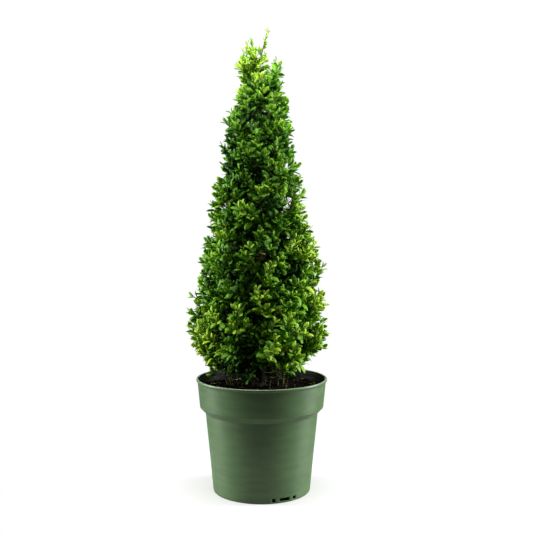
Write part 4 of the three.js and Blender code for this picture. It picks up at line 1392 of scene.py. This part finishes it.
def make_leaves(name, leaves, form, nodes, materials):
    """One piece of leaves, which stands for the foliage nodes named."""
    points, faces = leaves_as_mesh(leaves, form)
    kinds = np.repeat(leaves.tint, len(faces) // len(leaves.tint))
    piece = make_object(name, points, (faces,), materials, kinds)
    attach(piece, "root")
    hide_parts(*nodes)


def rods_along(curves, radii, rings, sides):
    """Rods along quadratic curves. radii are those at foot and tip, each as one number or as a column."""
    t = np.linspace(0, 1, rings)
    return tubes(curve_points(curves, t), np.broadcast_to(mix(*radii, t), (len(curves), rings)), sides)


def make_foliage(masses, leaf_materials, twig_material, shoot_material, sucker_material):
    """Leaves joined by group of masses, and all twigs, all suckers and all shoots, each as one piece."""
    grown = grow_foliage(masses)
    names = [mass.name for mass in masses]
    nodes = [f"foliage_{name}" for name in names]
    for group, members in GROUPS:
        numbers = [names.index(member) for member in members]
        leaves = pick(grown.leaves, np.isin(grown.leaves.own, numbers))
        make_leaves(f"leaves_{group}", leaves, OUTER_FORM, [nodes[n] for n in numbers], leaf_materials)
    make_leaves("leaves_inside", grown.inner_leaves, INNER_FORM, nodes, leaf_materials)
    w = WOOD
    thick = np.clip(w.twig_base + w.twig_per_length * lengths(grown.twigs), *w.twig_limits)[:, None]
    stems = rods_along(grown.stems, (STEM.radius, STEM.tip_radius), w.stem_rings, w.stem_sides)
    twigs = rods_along(grown.twigs, (thick, w.twig_tip), w.twig_rings, w.twig_sides)
    foot_radii = np.array([sucker.radius for sucker in SUCKERS])[:, None]
    sucker_radii = (foot_radii, SUCKER_BEND.tip_radius * foot_radii)
    suckers = rods_along(grown.suckers, sucker_radii, w.sucker_rings, w.sucker_sides)
    shoots = rods_along(grown.shoots, w.shoot, w.shoot_rings, w.shoot_sides)
    for name, (points, quads, caps), material in (
        ("twigs", join([stems, twigs]), twig_material),
        ("suckers", suckers, sucker_material),
        ("shoots", shoots, shoot_material),
    ):
        piece = make_object(name, points, (quads, caps), [material])
        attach(piece, "root")
        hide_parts(*nodes)


# Studio: a pale floor, soft boxes at both sides and above, a narrow one on the head, and a bright surround

# The camera's place is in metres, its pitch in degrees, its focal length and picture in pixels and its
# sensor in millimetres.
CAMERA = Sizes(
    x=0.0084, distance=1.434, height=0.462, pitch=2.74, focal_pixels=821.6, picture=533, sensor=36, near=0.05
)
FLOOR = Sizes(radius=9000, sides=64)


def make_camera():
    """The camera at the photograph's place: a little above the plant's middle and tilted down slightly."""
    data = bpy.data.cameras.new("camera")
    data.sensor_width = CAMERA.sensor
    data.lens = CAMERA.focal_pixels / CAMERA.picture * CAMERA.sensor
    data.clip_start = CAMERA.near
    camera = bpy.data.objects.new("camera", data)
    bpy.context.scene.collection.objects.link(camera)
    camera.location = (CAMERA.x, -CAMERA.distance, CAMERA.height)
    camera.rotation_euler = (np.radians(90 - CAMERA.pitch), 0, 0)
    bpy.context.scene.camera = camera


def make_floor():
    """A wide pale floor that fades to the surround's white before its edge. Seen from the pot it is pale
    near by and grey further off, so that it lights the pot from below. Distances from the pot are in
    metres."""
    material, tree = new_material("pale_floor")
    place = add_node(tree, "TexCoord", {})
    distance = add_node(tree, "VectorMath", {0: (place, "Object")}, operation="LENGTH")
    path = add_node(tree, "LightPath", {})
    far = add_node(
        tree,
        "MapRange",
        {"Value": (distance, "Value"), "From Min": 0.08, "From Max": 0.45, "To Min": 0.45, "To Max": 1},
        interpolation_type="SMOOTHSTEP",
    )
    fade = add_node(tree, "Math", {0: (far, "Result"), 1: (path, "Is Camera Ray")}, operation="MULTIPLY")
    near = add_node(tree, "ValToRGB", {"Fac": (distance, "Value")}, ((0.15, 0xA2A2A0), (0.5, 0x3A3A3A)))
    paint = add_node(
        tree,
        "Mix",
        {0: (path, "Is Camera Ray"), 6: (near, "Color"), 7: linear(0xF4F4F2)},
        data_type="RGBA",
    )
    shader = add_node(tree, "BsdfPrincipled", {"Base Color": (paint, 2), "Roughness": 0.5})
    glow = add_node(tree, "Emission", {"Color": (1, 1, 1, 1), "Strength": 1.0})
    both = add_node(tree, "MixShader", {0: (fade, "Value"), 1: (shader, "BSDF"), 2: (glow, "Emission")})
    add_node(tree, "OutputMaterial", {"Surface": (both, "Shader")})
    turn = np.linspace(0, 2 * np.pi, FLOOR.sides, endpoint=False)
    rim = np.stack([FLOOR.radius * np.cos(turn), FLOOR.radius * np.sin(turn), 0 * turn], axis=-1)
    floor = make_object("floor", rim, (np.arange(FLOOR.sides)[None],), [material], smooth=False)


def make_soft_box(name, place, target, size, power, spread=180):
    """A rectangular lamp at a place that looks at a target, in metres, with its power in watts. Its light
    spreads over an angle in degrees, and its own face isn't in the picture."""
    data = bpy.data.lights.new(name, "AREA")
    data.shape = "RECTANGLE"
    data.size, data.size_y = size
    data.energy = power
    data.spread = np.radians(spread)
    lamp = bpy.data.objects.new(name, data)
    bpy.context.scene.collection.objects.link(lamp)
    lamp.location = place
    lamp.rotation_euler = (Vector(target) - Vector(place)).to_track_quat("-Z", "Y").to_euler()
    lamp.visible_camera = False


def make_surround(light, seen):
    """A white surround whose light on the plant is weaker than its look behind it."""
    world = bpy.data.worlds.new("surround")
    bpy.context.scene.world = world
    world.use_nodes = True
    tree = world.node_tree
    tree.nodes.clear()
    path = add_node(tree, "LightPath", {})
    strength = add_node(
        tree, "MapRange", {"Value": (path, "Is Camera Ray"), "To Min": light, "To Max": seen}
    )
    back = add_node(tree, "Background", {"Color": (1, 1, 1, 1), "Strength": (strength, "Result")})
    add_node(tree, "OutputWorld", {"Surface": (back, "Background")})


def make_studio():
    """The camera, the floor, the lamps and the surround, with colours shown as they are."""
    bpy.context.scene.view_settings.view_transform = "Standard"
    make_camera()
    make_floor()
    middle, head = (0, 0, 0.4), (0, 0, 0.84)
    make_soft_box("soft_box_left", (-1.7, 0.2, 0.75), middle, (0.6, 1.5), 56)
    make_soft_box("soft_box_right", (1.7, 0.2, 0.75), middle, (0.6, 1.5), 62)
    make_soft_box("soft_box_top", (0, -0.15, 1.9), middle, (1.0, 1.0), 34)
    make_soft_box("soft_box_head", (0, -0.9, 1.6), head, (0.3, 0.3), 0.64, 18)
    make_surround(0.04, 1.0)


masses = lay_out_masses()
make_studio()
make_pot(
    [
        moulded_polypropylene("moulded_polypropylene", 0x4A6641, 0x557346, 0.5),
        # paler along the lip's upper edge: a painted highlight
        moulded_polypropylene("painted_highlight_polypropylene", 0x869F7E, 0x96AF8C, 0.5),
        # nearly black inside the mouth: a painted shade
        moulded_polypropylene("painted_shade_polypropylene", 0x0C120B, 0x182217, 0.12),
    ]
)
make_soil(damp_peat())
make_chips(
    [
        plain_chip("peat_crumb", 0x0C0805, 0.95),
        plain_chip("bark_chip", 0x26160E, 0.85),
        plain_chip("red_wood_chip", 0x7A4A2C, 0.8),
        plain_chip("pale_wood_sliver", 0xE0C894, 0.75),
    ]
)
bark = holly_bark()
make_bark(masses, bark)
make_foliage(
    masses,
    [living_skin(name, colour, roughness, 0.2) for name, colour, roughness in TINTS],
    bark,
    living_skin("green_shoot", 0x6A7A3A, 0.5, 0.3),
    living_skin("pale_sucker", 0x8D9A5A, 0.5, 0.3),
)
